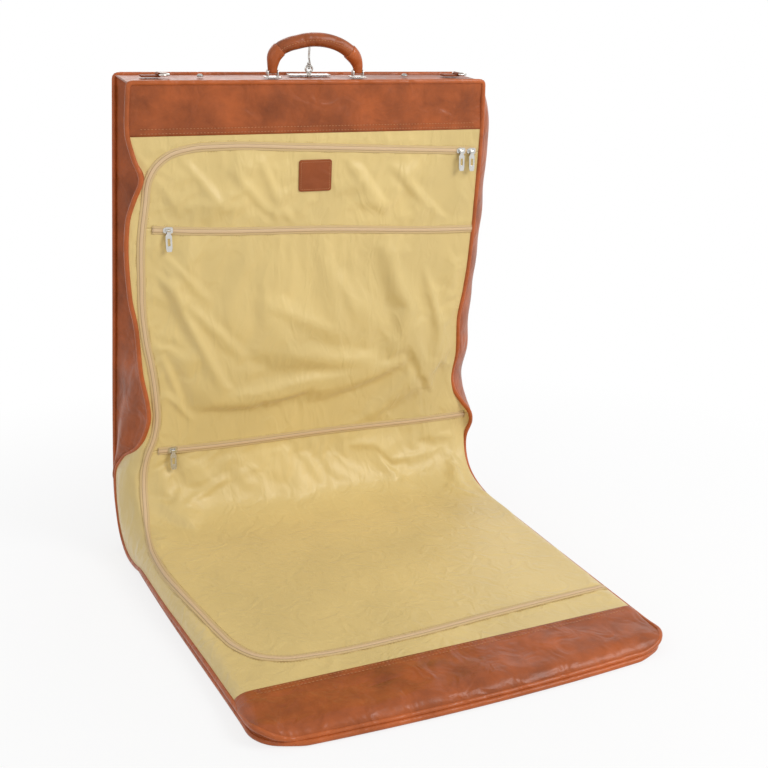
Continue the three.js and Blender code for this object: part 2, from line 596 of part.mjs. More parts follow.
// The clamp grips the hangers of several garments inside the top.
function hangerClamp(frameUnderside) {
  const seat = frameUnderside - GAP;
  const high = seat - CLAMP_PLATE - 2 * GAP;
  const low = high - CLAMP_HEIGHT;
  const half = CLAMP_WIDTH / 2;
  const y = (HANDLE_Y + HOOK_Y - CLAMP_DEPTH) / 2;
  const pinY = y + CLAMP_PIN_BACK;
  const pinH = high - CLAMP_PIN_DROP;
  const overlap = CLAMP_PLATE / 2;
  const hang = block([-half, y, seat - CLAMP_PLATE], [half, y + CLAMP_DEPTH, seat]);
  const plate = block([-half, y, low], [half, y + CLAMP_PLATE, seat - overlap]);
  const ears = [-1, 1].map((s) => {
    const [left, right] = [s * half, s * (half - CLAMP_EAR)].sort((a, b) => a - b);
    return block([left, y, pinH - CLAMP_EAR], [right, pinY + CLAMP_EAR, seat - overlap]);
  });
  const along = (radius, length) => rod(radius, length).rotateZ(Math.PI / 2).translate(0, pinY, pinH);
  const pin = along(CLAMP_PIN_RADIUS, CLAMP_WIDTH - CLAMP_EAR);
  piece(upper, 'hanger_clamp', joined(hang, plate, ...ears, pin).translate(CLAMP_AT, 0, 0), 'steel');

  const jawHalf = half - CLAMP_EAR - 1;
  const sleeve = along(CLAMP_SLEEVE_RADIUS, 2 * jawHalf);
  const jawPlate = block([-jawHalf, pinY - overlap, low], [jawHalf, pinY + overlap, pinH]);
  const bore = along(CLAMP_PIN_RADIUS + CLAMP_CLEARANCE, CLAMP_WIDTH);
  piece(upper, 'clamp_jaw', cut(joined(sleeve, jawPlate), bore).translate(CLAMP_AT, 0, 0), 'steel');
}

// Webbing that holds the garments against the back.
function garmentStrap() {
  const strap = block(
    [-EDGE_X + STRAP_INSET, LINING_Y - GAP - STRAP_THICKNESS, STRAP_H - STRAP_WIDTH / 2],
    [EDGE_X - STRAP_INSET, LINING_Y - GAP, STRAP_H + STRAP_WIDTH / 2]);
  piece(upper, 'garment_strap', strap, 'webbing');
}

// ---- Zip sliders and pulls ----------------------------------------------------------------

// The slider straddles the chain; its bridge carries the pull's pin. Built at the origin with
// the chain along X, then set on the zip.
function slider(name, x, h, fall) {
  const baseY = CHAIN_FACE - GAP;
  const faceY = baseY - SLIDER_HEIGHT * 0.45;
  const long = SLIDER_LENGTH / 2;
  const wide = SLIDER_WIDTH / 2;
  const body = layer([
    [-long, -wide * 0.55], [-long * 0.4, -wide], [long * 0.7, -wide], [long, -wide * 0.7],
    [long, wide * 0.7], [long * 0.7, wide], [-long * 0.4, wide], [-long, wide * 0.55]],
  baseY - faceY, faceY);
  const pinY = faceY - PULL_KNUCKLE - GAP;
  const earMiddle = (PULL_NECK + SLIDER_EAR) / 2 + SLIDER_EAR_GAP;
  const ears = [-1, 1].map((s) => block(
    [s * earMiddle - SLIDER_EAR / 2, pinY - SLIDER_EAR, -2],
    [s * earMiddle + SLIDER_EAR / 2, baseY - 1, 2]));
  const pin = rod(PULL_PIN_RADIUS, 2 * earMiddle).rotateZ(Math.PI / 2).translate(0, pinY, 0);
  const holder = new THREE.Group();
  holder.position.set(x, 0, h);
  holder.rotation.y = fall;
  upper.add(holder);
  piece(holder, name, joined(body, ...ears, pin), 'nickel');
  return pinY;
}

// The pull hangs plumb from the slider's pin.
function pull(name, x, h, pinY) {
  const neck = PULL_NECK / 2;
  const wide = PULL_WIDTH / 2;
  const tail = PULL_LENGTH;
  const start = PULL_KNUCKLE * 0.8;
  const blade = layer([
    [-neck, start], [neck, start], [neck, -4], [wide, -8], [wide, -tail + 5], [wide * 0.7, -tail],
    [-wide * 0.7, -tail], [-wide, -tail + 5], [-wide, -8], [-neck, -4]],
  PULL_THICKNESS, -PULL_THICKNESS / 2);
  const knuckle = rod(PULL_KNUCKLE, PULL_NECK).rotateZ(Math.PI / 2);
  const bore = rod(PULL_PIN_RADIUS + PULL_CLEARANCE, 2 * PULL_NECK).rotateZ(Math.PI / 2);
  const slot = [
    [-PULL_WINDOW, -tail + 9], [PULL_WINDOW, -tail + 9], [PULL_WINDOW, -12], [-PULL_WINDOW, -12]];
  const window = layer(slot, 2 * PULL_THICKNESS, -PULL_THICKNESS);
  const swing = new THREE.Group();
  swing.position.set(x, pinY, h);
  swing.rotation.x = -radians(LEAN);
  upper.add(swing);
  piece(swing, name, cut(joined(blade, knuckle), bore, window), 'nickel');
}

function sliders() {
  const mainEnd = [zipTopRight[0] - SLIDER_LENGTH / 2 - 2, zipTopRight[1]];
  const places = [
    ['main_slider_b', mainEnd[0], mainEnd[1], mainZipFall],
    [
      'main_slider_a', mainEnd[0] - SLIDER_SPACING,
      mainEnd[1] + SLIDER_SPACING * Math.tan(mainZipFall), mainZipFall,
    ],
  ];
  pocketZipPaths.forEach(([left], i) => {
    const fall = pocketZipFalls[i];
    const name = i === 0 ? 'pocket_slider_upper' : 'pocket_slider_lower';
    places.push([name, left[0] + POCKET_SLIDER_IN, left[1] - POCKET_SLIDER_IN * Math.tan(fall), fall]);
  });
  for (const [name, x, h, fall] of places) {
    const pinY = slider(name, x, h, fall);
    pull(name.replace('slider', 'pull'), x, h, pinY);
  }
}

// ---- Lower half ---------------------------------------------------------------------------

// Half-width of the lower half's outer edge at a distance from the fold axis. It narrows until
// the far corners begin.
function halfAt(distance) {
  const straight = LOWER_LENGTH - END_BULGE - CORNER_RADIUS;
  return LOWER_HALF - END_TAPER * Math.min(1, distance / straight);
}

// The lower half's plan outline, set in by some amount, open at the fold.
// Points run from the left side near the fold, round the far end, to the right side.
function lowerEdge(inset, start) {
  const end = -(LOWER_LENGTH - END_BULGE);
  const side = halfAt(LOWER_LENGTH);
  const radius = CORNER_RADIUS - inset;
  const left = Array.from({ length: 8 }, (_, i) => {
    const angle = Math.PI + (i / 7) * (Math.PI / 2);
    return [
      -side + CORNER_RADIUS + radius * Math.cos(angle), end + CORNER_RADIUS + radius * Math.sin(angle)];
  });
  const bow = Array.from({ length: 7 }, (_, i) => {
    const t = (i + 1) / 4 - 1;
    return [t * (side - CORNER_RADIUS), end + inset - END_BULGE * (1 - t * t)];
  });
  const right = left.map(([x, y]) => [-x, y]).reverse();
  const begin = halfAt(-start) - inset;
  return [[-begin, start], ...left, ...bow, ...right, [begin, start]];
}

function lowerShell() {
  const panelInset = 2 * BEAD_RADIUS + GAP;
  const base = upright(lowerEdge(panelInset, 0), 0, LEATHER);
  piece(lower, 'lower_back_panel', base, 'leather');
  const liningLow = LEATHER + GAP;
  piece(lower, 'lower_lining', upright(lowerEdge(24, -12), liningLow, liningLow + CLOTH), 'lining');

  const wallInset = BEAD_RADIUS;
  const low = 2 * BEAD_RADIUS + GAP;
  const beadDrop = BEAD_RADIUS * 1.5 + GAP + 0.4;
  const wall = upright(ribbon(lowerEdge(wallInset, -RAMP_RUN), LEATHER / 2), low, RAMP_HEIGHT);
  const profile = across([
    [-LOWER_LENGTH - 20, low], [-RAMP_RUN, low], [-RAMP_RUN, RAMP_HEIGHT - beadDrop],
    [-LOWER_LENGTH - 20, END_HEIGHT - beadDrop - 20 * Math.tan(LOWER_SLOPE)]], -400, 400);
  piece(lower, 'lower_gusset', common(wall, profile), 'leather');

  const floorBead = lowerEdge(BEAD_RADIUS, -3 * GAP).map(([x, y]) => [x, y, BEAD_RADIUS]);
  piece(lower, 'lower_floor_bead', bar(floorBead, BEAD_RADIUS), 'leather');
}

// The lower front face is laid out in its own panel frame, where h is minus the distance from
// the top of the face.
function lowerFrontFace() {
  const stretch = 1 / Math.cos(LOWER_SLOPE);
  const toPanel = ([x, y]) => [x, (y + RAMP_RUN) * stretch];
  const edge = lowerEdge(2 * BEAD_RADIUS + GAP, -RAMP_RUN).map(toPanel);
  const beadEdge = lowerEdge(BEAD_RADIUS, -RAMP_RUN).map(toPanel);
  const footerTop = -(LOWER_FRONT - FOOTER_DEPTH) * stretch;
  const zipRun = footerTop + MAIN_ZIP_END_INSET;
  const sideAt = (h) => halfAt(RAMP_RUN - h) - 2 * BEAD_RADIUS - GAP;

  const cornerH = zipRun + 60;
  const zipX = (h) => -(sideAt(h) - MAIN_ZIP_INSET + BEAD_RADIUS + GAP);
  const path = [
    [zipX(0), -GAP], ...bend([zipX(cornerH), cornerH], [zipX(zipRun), zipRun], [zipX(zipRun) + 60, zipRun]),
    [sideAt(zipRun) - GAP, zipRun]];
  piece(lowerFront, 'main_zip_lower', zip(path), 'zip_tape');

  const inner = offset(path, TAPE_HALF);
  const outer = offset(path, -TAPE_HALF);
  const flap = [...inner.slice(0, -1), [sideAt(zipRun), inner.at(-1)[1]], [sideAt(0), -GAP]];
  piece(lowerFront, 'lower_flap', layer(flap, CLOTH, FRONT_SETBACK), 'nylon');
  const border = [
    ...outer.slice(0, -1), [sideAt(zipRun), outer.at(-1)[1]],
    [sideAt(footerTop), footerTop + GAP], [-sideAt(footerTop), footerTop + GAP], [-sideAt(0), -GAP]];
  piece(lowerFront, 'lower_border', layer(border, CLOTH, FRONT_SETBACK), 'nylon');

  const footer = [[-sideAt(footerTop), footerTop], ...edge.slice(1, -1), [sideAt(footerTop), footerTop]];
  piece(lowerFront, 'footer_band', layer(footer, LEATHER, FRONT_SETBACK), 'leather');

  const bead = beadEdge.map(([x, h]) => [x, BEAD_Y, h]);
  piece(lowerFront, 'lower_front_bead', bar(bead, BEAD_RADIUS), 'leather');
}

// ---- The soft fold between the halves -----------------------------------------------------

// A point of the upper panel frame in the level frame, as [y, z].
function raised(y, h) {
  const turn = radians(LEAN);
  return [y * Math.cos(turn) - h * Math.sin(turn), FOLD_Z + y * Math.sin(turn) + h * Math.cos(turn)];
}

function foldOuter() {
  const shape = [];
  const radius = BACK - GAP;
  const steps = 14;
  const start = -Math.PI / 2 + radians(0.5);
  const end = radians(LEAN - 0.5);
  for (const [r, forward] of [[radius, true], [radius - LEATHER, false]]) {
    for (let i = 0; i <= steps; i += 1) {
      const t = forward ? i / steps : 1 - i / steps;
      const angle = start + (end - start) * t;
      shape.push([r * Math.cos(angle), FOLD_Z + r * Math.sin(angle)]);
    }
  }
  const half = LOWER_HALF - 2 * BEAD_RADIUS - GAP;
  piece(lower, 'fold_leather', across(shape, -half, half), 'leather');
}

// Fabric from the lower pocket zip down to the crease and out to the lower front face.
function foldFront() {
  const top = raised(FRONT_SETBACK, FOLD_TOP - GAP);
  const topIn = raised(FRONT_SETBACK + CLOTH, FOLD_TOP - GAP);
  const crease = [-6, FOLD_Z - 12];
  const foot = [-RAMP_RUN + GAP, RAMP_HEIGHT];
  const sheet = [
    top, crease, foot, [foot[0], foot[1] - CLOTH], [crease[0] + 1, crease[1] - CLOTH * 1.3], topIn];
  const widen = (extra) => (x, y, z) => {
    const share = THREE.MathUtils.clamp((crease[0] - y) / (crease[0] - foot[0]), 0, 1);
    return [x + Math.sign(x) * extra * share, y, z];
  };
  const widthGain = halfAt(RAMP_RUN) - HALF;
  piece(lower, 'fold_fabric', warp(across(sheet, -EDGE_X, EDGE_X), widen(widthGain)), 'nylon');

  const rise = 1.5;
  const lift = (p) => [p[0] - rise, p[1] + GAP];
  const strip = [
    lift(top), lift(crease), [foot[0], foot[1] + rise + 0.6], [foot[0], foot[1] + GAP + 0.4],
    [crease[0] - 0.3, crease[1] + GAP + 0.4], [top[0] - GAP, top[1]]];
  const foldZip = across(strip, zipLeftX - ZIP_TAPE / 2, zipLeftX + ZIP_TAPE / 2);
  piece(lower, 'fold_zip', warp(foldZip, widen(widthGain)), 'zip_tape');
}

function foldSide(side) {
  const suffix = side < 0 ? 'left' : 'right';
  const crease = [-6, FOLD_Z - 12];
  const inner = BACK - LEATHER - 2 * BEAD_RADIUS;
  const arc = Array.from({ length: 11 }, (_, i) => {
    const angle = radians(LEAN - 2) - (i / 10) * (Math.PI / 2 + radians(LEAN - 2));
    return [inner * Math.cos(angle), FOLD_Z + inner * Math.sin(angle)];
  });
  const beadDrop = 2 * BEAD_RADIUS + 3 * GAP;
  const web = [
    raised(beadDrop + 2, -2), ...arc, [-RAMP_RUN + GAP, 2 * BEAD_RADIUS + GAP],
    [-RAMP_RUN + GAP, RAMP_HEIGHT - beadDrop], [crease[0] + beadDrop * 0.3, crease[1] - beadDrop]];
  const reach = BACK - 2 * BEAD_RADIUS;
  const splay = (x, y, z) => {
    const away = Math.min(1, Math.hypot(y - crease[0], z - crease[1]) / reach);
    return [side * (BEAD_X - 2 * LEATHER + x + FLARE * away), y, z];
  };
  const plate = warp(across(web, 0, LEATHER), splay);
  piece(lower, `fold_gusset_${suffix}`, side < 0 ? turnedInsideOut(plate) : plate, 'leather');

  const widthGain = halfAt(RAMP_RUN) - HALF;
  const ramp = [1, 0.8, 0.6, 0.4, 0.2, 0].map((share) => [
    side * (BEAD_X + GAP + widthGain * share),
    crease[0] - (RAMP_RUN + crease[0] - BEAD_RADIUS) * share,
    crease[1] - BEAD_RADIUS / 2 + (RAMP_HEIGHT - crease[1] + BEAD_RADIUS / 2) * share]);
  const rise = [14, 34, FOLD_TOP - GAP].map((h) => [side * BEAD_X, ...raised(BEAD_Y - 2 * GAP, h)]);
  const frontBead = [...ramp, ...rise];
  piece(lower, `fold_front_bead_${suffix}`, bar(frontBead, BEAD_RADIUS), 'leather');

  const round = BACK - BEAD_RADIUS;
  const backBead = Array.from({ length: 9 }, (_, i) => {
    const angle = radians(LEAN - 0.6) - (i / 8) * (Math.PI / 2 + radians(LEAN - 0.8));
    return [side * (LOWER_HALF - BEAD_RADIUS), round * Math.cos(angle), FOLD_Z + round * Math.sin(angle)];
  });
  piece(lower, `fold_back_bead_${suffix}`, bar(backBead, BEAD_RADIUS), 'leather');
}

// A mirrored solid has its faces pointing inwards, so each triangle is turned round.
function turnedInsideOut(geometry) {
  const flat = geometry.index ? geometry.toNonIndexed() : geometry;
  const position = flat.attributes.position;
  for (let i = 0; i < position.count; i += 3) {
    const [x, y, z] = [position.getX(i), position.getY(i), position.getZ(i)];
    position.setXYZ(i, position.getX(i + 1), position.getY(i + 1), position.getZ(i + 1));
    position.setXYZ(i + 1, x, y, z);
  }
  flat.deleteAttribute('normal');
  return flat;
}

// ---- Assembly -----------------------------------------------------------------------------

upperShell();
upperFront();
const frameUnderside = topFrame();
gusset(-1);
gusset(1);
edgeBead('front_bead', BEAD_Y, FOLD_TOP + GAP, 'leather');
edgeBead('back_bead', BACK_BEAD_Y, 0, 'leather');
handleBracket('handle_bracket_left', TOP_CENTRE - HANDLE_SPAN / 2);
handleBracket('handle_bracket_right', TOP_CENTRE + HANDLE_SPAN / 2);
handle();
hookSwivel(frameUnderside);
hook();
for (const [suffix, barX] of Object.entries(RING_BARS)) shoulderRing(suffix, barX);
stud(-1);
stud(1);
hangerClamp(frameUnderside);
garmentStrap();
sliders();
lowerShell();
lowerFrontFace();
foldOuter();
foldFront();
foldSide(-1);
foldSide(1);

// The origin goes to the bottom centre of the whole bag.
bag.updateMatrixWorld(true);
const extent = new THREE.Box3().setFromObject(bag, true);
const centre = extent.getCenter(new THREE.Vector3());
bag.position.set(-centre.x, -centre.y, -extent.min.z);

export default bag;
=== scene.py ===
"""Looks of a half-open leather and nylon garment bag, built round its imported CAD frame."""

import json
import math
import random

import bmesh
import bpy
import numpy as np
from bpy.props import FloatProperty, FloatVectorProperty, IntProperty, PointerProperty
from mathutils import Matrix, Vector


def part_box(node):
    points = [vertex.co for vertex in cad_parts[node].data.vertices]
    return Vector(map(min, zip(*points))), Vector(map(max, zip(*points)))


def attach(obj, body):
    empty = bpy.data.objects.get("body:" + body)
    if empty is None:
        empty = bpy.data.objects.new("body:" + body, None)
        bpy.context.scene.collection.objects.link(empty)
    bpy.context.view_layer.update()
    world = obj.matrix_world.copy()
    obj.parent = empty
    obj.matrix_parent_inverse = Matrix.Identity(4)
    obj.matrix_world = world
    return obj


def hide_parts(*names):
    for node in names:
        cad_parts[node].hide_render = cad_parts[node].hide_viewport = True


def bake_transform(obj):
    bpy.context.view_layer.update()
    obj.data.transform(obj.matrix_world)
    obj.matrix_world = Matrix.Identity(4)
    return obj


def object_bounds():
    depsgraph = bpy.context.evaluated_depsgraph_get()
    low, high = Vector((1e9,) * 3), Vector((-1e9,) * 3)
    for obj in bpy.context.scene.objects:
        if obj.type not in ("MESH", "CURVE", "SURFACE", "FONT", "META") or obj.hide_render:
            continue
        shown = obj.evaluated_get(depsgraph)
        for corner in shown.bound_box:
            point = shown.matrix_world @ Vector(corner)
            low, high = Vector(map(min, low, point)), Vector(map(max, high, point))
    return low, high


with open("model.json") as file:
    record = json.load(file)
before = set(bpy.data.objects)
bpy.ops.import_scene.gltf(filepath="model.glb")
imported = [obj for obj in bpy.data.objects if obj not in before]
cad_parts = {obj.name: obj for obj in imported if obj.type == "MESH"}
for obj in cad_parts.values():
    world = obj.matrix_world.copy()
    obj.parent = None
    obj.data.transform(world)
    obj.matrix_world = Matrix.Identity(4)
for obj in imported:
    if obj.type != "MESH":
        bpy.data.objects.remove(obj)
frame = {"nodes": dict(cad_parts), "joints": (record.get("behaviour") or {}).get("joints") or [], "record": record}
CAD_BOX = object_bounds()

bl_info = {
    "name": "Garment bag",
    "version": (1, 0, 0),
    "blender": (4, 5, 0),
    "location": "3D View > Sidebar > Garment bag",
    "description": "Makes the cloth, leather and metal pieces of a half-open garment bag",
    "category": "Object",
}

# ---- The bag's own frame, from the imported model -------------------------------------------

JOINT = {j["name"]: j for j in frame["joints"]}
FOLD_Y, FOLD_Z = JOINT["fold_hinge"]["pos_m"][1:]
UP_AXIS = Vector(JOINT["hook_swivel"]["axis"])
LEAN = math.atan2(-UP_AXIS.y, UP_AXIS.z)

TOP_H = 0.652  # top edge beads above the fold axis, along the upper half
HEADER_H = 0.576  # lower edge of the leather header
FRONT_Y = 0.003  # front face behind the fold axis
BACK_Y = 0.0960  # middle of the back edge bead
BEND_H = 0.050  # where the front starts to bend
BEND_END_Y = 0.150  # where the front has become level
LEVEL_Z = 0.0483  # its height there
END_Z = 0.024  # height of the lower half's face near its far end
END_Y = CAD_BOX[0][1] + 0.004
CORNER = 0.045  # plan radius of the far corners
BULGE = 0.014  # how far the far end bows out
END_HALF = 0.296  # half the width there
RIM_Z = 0.015  # left edge bead above the floor
FAR_RIM_Z = 0.0085  # where the footer's leather meets the floor bead
FLOOR_BEAD_Z = 0.004
FOOTER_Y = -0.268  # near edge of the leather footer
ZIP_RUN_Y = -0.224  # main zip's run across the far end


def raised(y, h):
    """A point of the upper half, y behind and h above the fold axis, in (y, z)."""
    cos, sin = math.cos(LEAN), math.sin(LEAN)
    return FOLD_Y + y * cos - h * sin, FOLD_Z + y * sin + h * cos


def course(keys, level=True):
    """A smooth function through (place, value) pairs; level keeps it from overshooting them."""
    keys = sorted(keys)
    at = np.array([k[0] for k in keys], float)
    value = np.array([k[1] for k in keys], float)
    slope = np.gradient(value, at)
    if level:
        rise = np.diff(value) / np.diff(at)
        before, after = rise[:-1], rise[1:]
        same = before * after > 0
        total = np.where(same, before + after, 1.0)
        slope[1:-1] = np.where(same, 2 * before * after / total, 0.0)

    def read(x):
        x = np.clip(x, at[0], at[-1])
        i = np.clip(np.searchsorted(at, x) - 1, 0, len(at) - 2)
        step = at[i + 1] - at[i]
        t = (x - at[i]) / step
        a = 2 * t**3 - 3 * t**2 + 1
        b = t**3 - 2 * t**2 + t
        c = t**3 - t**2
        return a * value[i] + b * step * slope[i] + (1 - a) * value[i + 1] + c * step * slope[i + 1]

    return read


def smooth(low, high, x):
    t = np.clip((x - low) / (high - low), 0, 1)
    return t * t * (3 - 2 * t)


# ---- The front profile: down the upper half, round the fold, out over the lower half --------


def front_profile():
    top, bend = raised(FRONT_Y, TOP_H), raised(FRONT_Y, BEND_H)
    corner = (FOLD_Y + 0.0005, 0.058)
    level = (BEND_END_Y, LEVEL_Z)
    t = np.linspace(0, 1, 60)[:, None]
    curve = (1 - t) ** 2 * np.array(bend) + 2 * t * (1 - t) * np.array(corner) + t**2 * np.array(level)
    roll = 0.024  # the far end rolls down over this length
    flat_end = (END_Y + roll, END_Z)
    angle = np.linspace(0, math.pi / 2, 10)[1:, None]
    drop = END_Z - FAR_RIM_Z
    ending = np.hstack([flat_end[0] - roll * np.sin(angle), FAR_RIM_Z + drop * np.cos(angle)])
    return np.vstack([[top], curve, [flat_end], ending])


PROFILE = front_profile()
ALONG = np.concatenate([[0], np.cumsum(np.linalg.norm(np.diff(PROFILE, axis=0), axis=1))])
S_BEND = TOP_H - BEND_H
S_END = ALONG[-1]
S_LEVEL = float(ALONG[60])


def s_at_height(h):
    return TOP_H - h


def s_at_y(y):
    """Place along the front profile over the lower half."""
    return S_LEVEL + (BEND_END_Y - y) * (ALONG[61] - S_LEVEL) / (BEND_END_Y - PROFILE[61][0])


def profile_at(s):
    """(y, z) and the outward direction of the front at s."""
    y = np.interp(s, ALONG, PROFILE[:, 0])
    z = np.interp(s, ALONG, PROFILE[:, 1])
    step = 0.004
    dy = np.interp(s + step, ALONG, PROFILE[:, 0]) - np.interp(s - step, ALONG, PROFILE[:, 0])
    dz = np.interp(s + step, ALONG, PROFILE[:, 1]) - np.interp(s - step, ALONG, PROFILE[:, 1])
    run = np.hypot(dy, dz) + 1e-9
    return y, z, dz / run, -dy / run


def outer_at(s):
    """(y, z) of the outer leather's edge beside the front at s."""
    t = np.clip(s / S_BEND, 0, 1)
    h = TOP_H - s - BEND_H * t**6
    upper_y, upper_z = raised(BACK_Y, h)
    turn = np.clip((s - S_BEND) / (S_LEVEL - S_BEND), 0, 1)
    angle = LEAN - turn * (math.pi / 2 + LEAN)
    round_y = FOLD_Y + BACK_Y * np.cos(angle)
    round_z = FOLD_Z + BACK_Y * np.sin(angle)
    far = np.clip((s - S_LEVEL) / (S_END - S_LEVEL), 0, 1)
    level_y = BEND_END_Y - (BEND_END_Y - END_Y) * far + (FOLD_Y - BEND_END_Y) * (1 - far) ** 6
    y = np.where(s < S_BEND, upper_y, np.where(s < S_LEVEL, round_y, level_y))
    z = np.where(s < S_BEND, upper_z, np.where(s < S_LEVEL, round_z, FLOOR_BEAD_Z))
    return y, z


# ---- The side edges of the front and of the outer leather ------------------------------------


def on_both(upper, lower):
    """A course given by height on the upper half and by y on the lower half."""
    keys = [(s_at_height(h), v) for h, v in upper] + [(s_at_y(y), v) for y, v in lower]
    return course(keys)


LEFT_X = on_both(
    [(0.652, 0.286), (0.585, 0.290), (0.545, 0.282), (0.515, 0.273), (0.485, 0.283), (0.448, 0.294),
     (0.400, 0.297), (0.335, 0.294), (0.285, 0.286), (0.210, 0.281), (0.165, 0.274), (0.140, 0.272),
     (0.110, 0.277), (0.080, 0.287), (0.055, 0.300), (0.030, 0.312)],
    [(0.230, 0.316), (0.150, 0.314), (0.050, 0.311), (-0.060, 0.305), (-0.180, 0.299), (-0.300, 0.295)])
RIGHT_X = on_both(
    [(0.652, 0.286), (0.573, 0.290), (0.446, 0.289), (0.355, 0.286), (0.300, 0.281), (0.248, 0.274),
     (0.192, 0.277), (0.142, 0.271), (0.118, 0.276), (0.094, 0.291), (0.072, 0.307), (0.052, 0.311),
     (0.030, 0.305)],
    [(0.230, 0.300), (0.180, 0.301), (0.050, 0.300), (-0.060, 0.298), (-0.180, 0.296), (-0.300, 0.294)])
LEFT_DEPTH = on_both(
    [(0.652, 0.0), (0.560, 0.0), (0.515, -0.007), (0.470, 0.0), (0.200, 0.0), (0.140, -0.008),
     (0.105, 0.0), (0.080, 0.012), (0.050, 0.052), (0.025, 0.080)],
    [(0.252, 0.088), (0.235, 0.080), (0.190, 0.050), (0.150, LEVEL_Z - RIM_Z), (0.000, 0.026),
     (-0.300, END_Z - RIM_Z), (END_Y, 0.001)])
RIGHT_DEPTH = on_both(
    [(0.652, 0.0), (0.200, 0.0), (0.140, 0.004), (0.100, -0.002), (0.070, -0.010), (0.040, -0.004),
     (0.015, 0.004)],
    [(0.230, 0.008), (0.150, 0.010), (-0.300, 0.007), (END_Y, 0.001)])
LEFT_ROLL = on_both([(0.652, 0.006), (0.120, 0.006), (0.050, 0.018)], [(0.20, 0.024), (-0.30, 0.020)])
RIGHT_ROLL = on_both([(0.652, 0.006), (0.120, 0.006), (0.050, 0.008)], [(0.20, 0.012), (-0.30, 0.012)])
OUTER_X = on_both([(0.652, 0.286), (0.300, 0.299), (0.0, 0.311)], [(0.230, 0.312), (-0.300, 0.293)])


RIGHT_PUFF = on_both([(0.652, 0.0), (0.640, 0.016), (0.610, 0.028), (0.560, 0.036), (0.510, 0.033),
                      (0.430, 0.033), (0.340, 0.030), (0.230, 0.031), (0.150, 0.028), (0.090, 0.024),
                      (0.050, 0.013), (0.015, 0.004)], [(0.230, 0.0), (0.0, 0.0), (-0.300, 0.0)])


def far_bow(x, s):
    """How far the far end bows out at x across and s along."""
    return BULGE * (1 - (x / END_HALF) ** 2) * smooth(S_END - 0.12, S_END, s)


def corner_share(s):
    """How far the plan corner at the far end has pulled the sides in, at s."""
    d = np.clip((CORNER - (S_END - s)) / CORNER, 0, 1)
    return CORNER * (1 - np.sqrt(np.clip(1 - d * d, 0, 1)))


def ellipse_length(a, b):
    return math.pi / 2 * np.sqrt((a * a + b * b) / 2) + 1e-6


def reach(side, s):
    """Cloth from the middle of the front to its edge, on one side."""
    x, depth, roll = edge_of(side, s)
    return x - roll + ellipse_length(roll, depth)


def edge_of(side, s):
    left = side < 0
    x = np.where(left, LEFT_X(s), RIGHT_X(s)) - corner_share(s)
    depth = np.where(left, LEFT_DEPTH(s), RIGHT_DEPTH(s))
    roll = np.where(left, LEFT_ROLL(s), RIGHT_ROLL(s))
    return x, depth, roll


def front(c, s, lift=0.0):
    """The point of the front at c across, measured along the cloth, and s along it."""
    c, s = np.broadcast_arrays(np.asarray(c, float), np.asarray(s, float))
    side = np.where(c < 0, -1.0, 1.0)
    x_edge, depth, roll = edge_of(side, s)
    over = np.clip(np.abs(c) - (x_edge - roll), 0, None)
    angle = np.clip(over / ellipse_length(roll, depth), 0, 1) * math.pi / 2
    x = side * (np.minimum(np.abs(c), x_edge - roll) + roll * np.sin(angle))
    drop = depth * (1 - np.cos(angle))
    y, z, ny, nz = profile_at(s)
    rise = lift * np.cos(angle) + swell(c, s) - drop
    out = lift * np.sin(angle) * np.sign(depth + 1e-9)
    return np.stack([x + side * out, y + ny * rise - far_bow(x, s), z + nz * rise], -1)


def outer(side, s):
    """The edge of the outer leather on one side."""
    y, z = outer_at(s)
    x = side * (OUTER_X(s) - corner_share(s))
    return np.stack([x, y - far_bow(x, s), z], -1)


# ---- Lines that the zips follow ---------------------------------------------------------------

ZIP_TOP_RIGHT = (0.2814, 0.541)
ZIP_TOP_RISE = 0.0455  # rise of the long zip's top run towards the left, per metre across
POCKET_ZIPS = {
    "upper": ((-0.258, 0.438), (0.284, 0.411)),
    "lower": ((-0.258, 0.074), (0.300, 0.068)),
}


def main_zip_path():
    """(c, s) along the long zip, from its closed end at the top right to the far right."""
    right, low = ZIP_TOP_RIGHT
    upper = [(right, low), (0.15, low + (right - 0.15) * ZIP_TOP_RISE),
             (-0.03, low + (right + 0.03) * ZIP_TOP_RISE),
             (-0.150, 0.5595), (-0.198, 0.557), (-0.230, 0.548), (-0.251, 0.531), (-0.262, 0.510),
             (-0.2665, 0.480), (-0.274, 0.425), (-0.276, 0.360), (-0.276, 0.310), (-0.272, 0.265),
             (-0.264, 0.215), (-0.259, 0.165), (-0.258, 0.130), (-0.263, 0.100), (-0.276, 0.065)]
    lower = [(-0.289, 0.236), (-0.297, 0.190), (-0.300, 0.130), (-0.298, 0.070), (-0.291, 0.010),
             (-0.281, -0.060), (-0.272, -0.120), (-0.262, -0.165), (-0.243, -0.198), (-0.214, -0.216),
             (-0.170, ZIP_RUN_Y), (-0.050, -0.227), (0.100, -0.219), (0.288, -0.208)]
    points = [(c, s_at_height(h)) for c, h in upper] + [(c, s_at_y(y)) for c, y in lower]
    return rounded(points, 420)


def rounded(points, count):
    """Evenly spaced points on a smooth curve through a few given ones."""
    points = np.array(points, float)
    steps = np.concatenate([[0], np.cumsum(np.linalg.norm(np.diff(points, axis=0), axis=1))])
    place = np.linspace(0, steps[-1], count)
    lines = [course(list(zip(steps, points[:, i])), level=False) for i in range(points.shape[1])]
    return np.stack([line(place) for line in lines], -1)


def pocket_zip_path(which):
    (left, high), (right, low) = POCKET_ZIPS[which]
    t = np.linspace(0, 1, 120)
    sag = 0.0015 * np.sin(t * 9.0) + 0.002 * np.sin(t * 3.1)
    return np.stack([left + (right - left) * t, s_at_height(high + (low - high) * t - sag)], -1)


MAIN_ZIP = main_zip_path()
POCKET_PATHS = {name: pocket_zip_path(name) for name in POCKET_ZIPS}


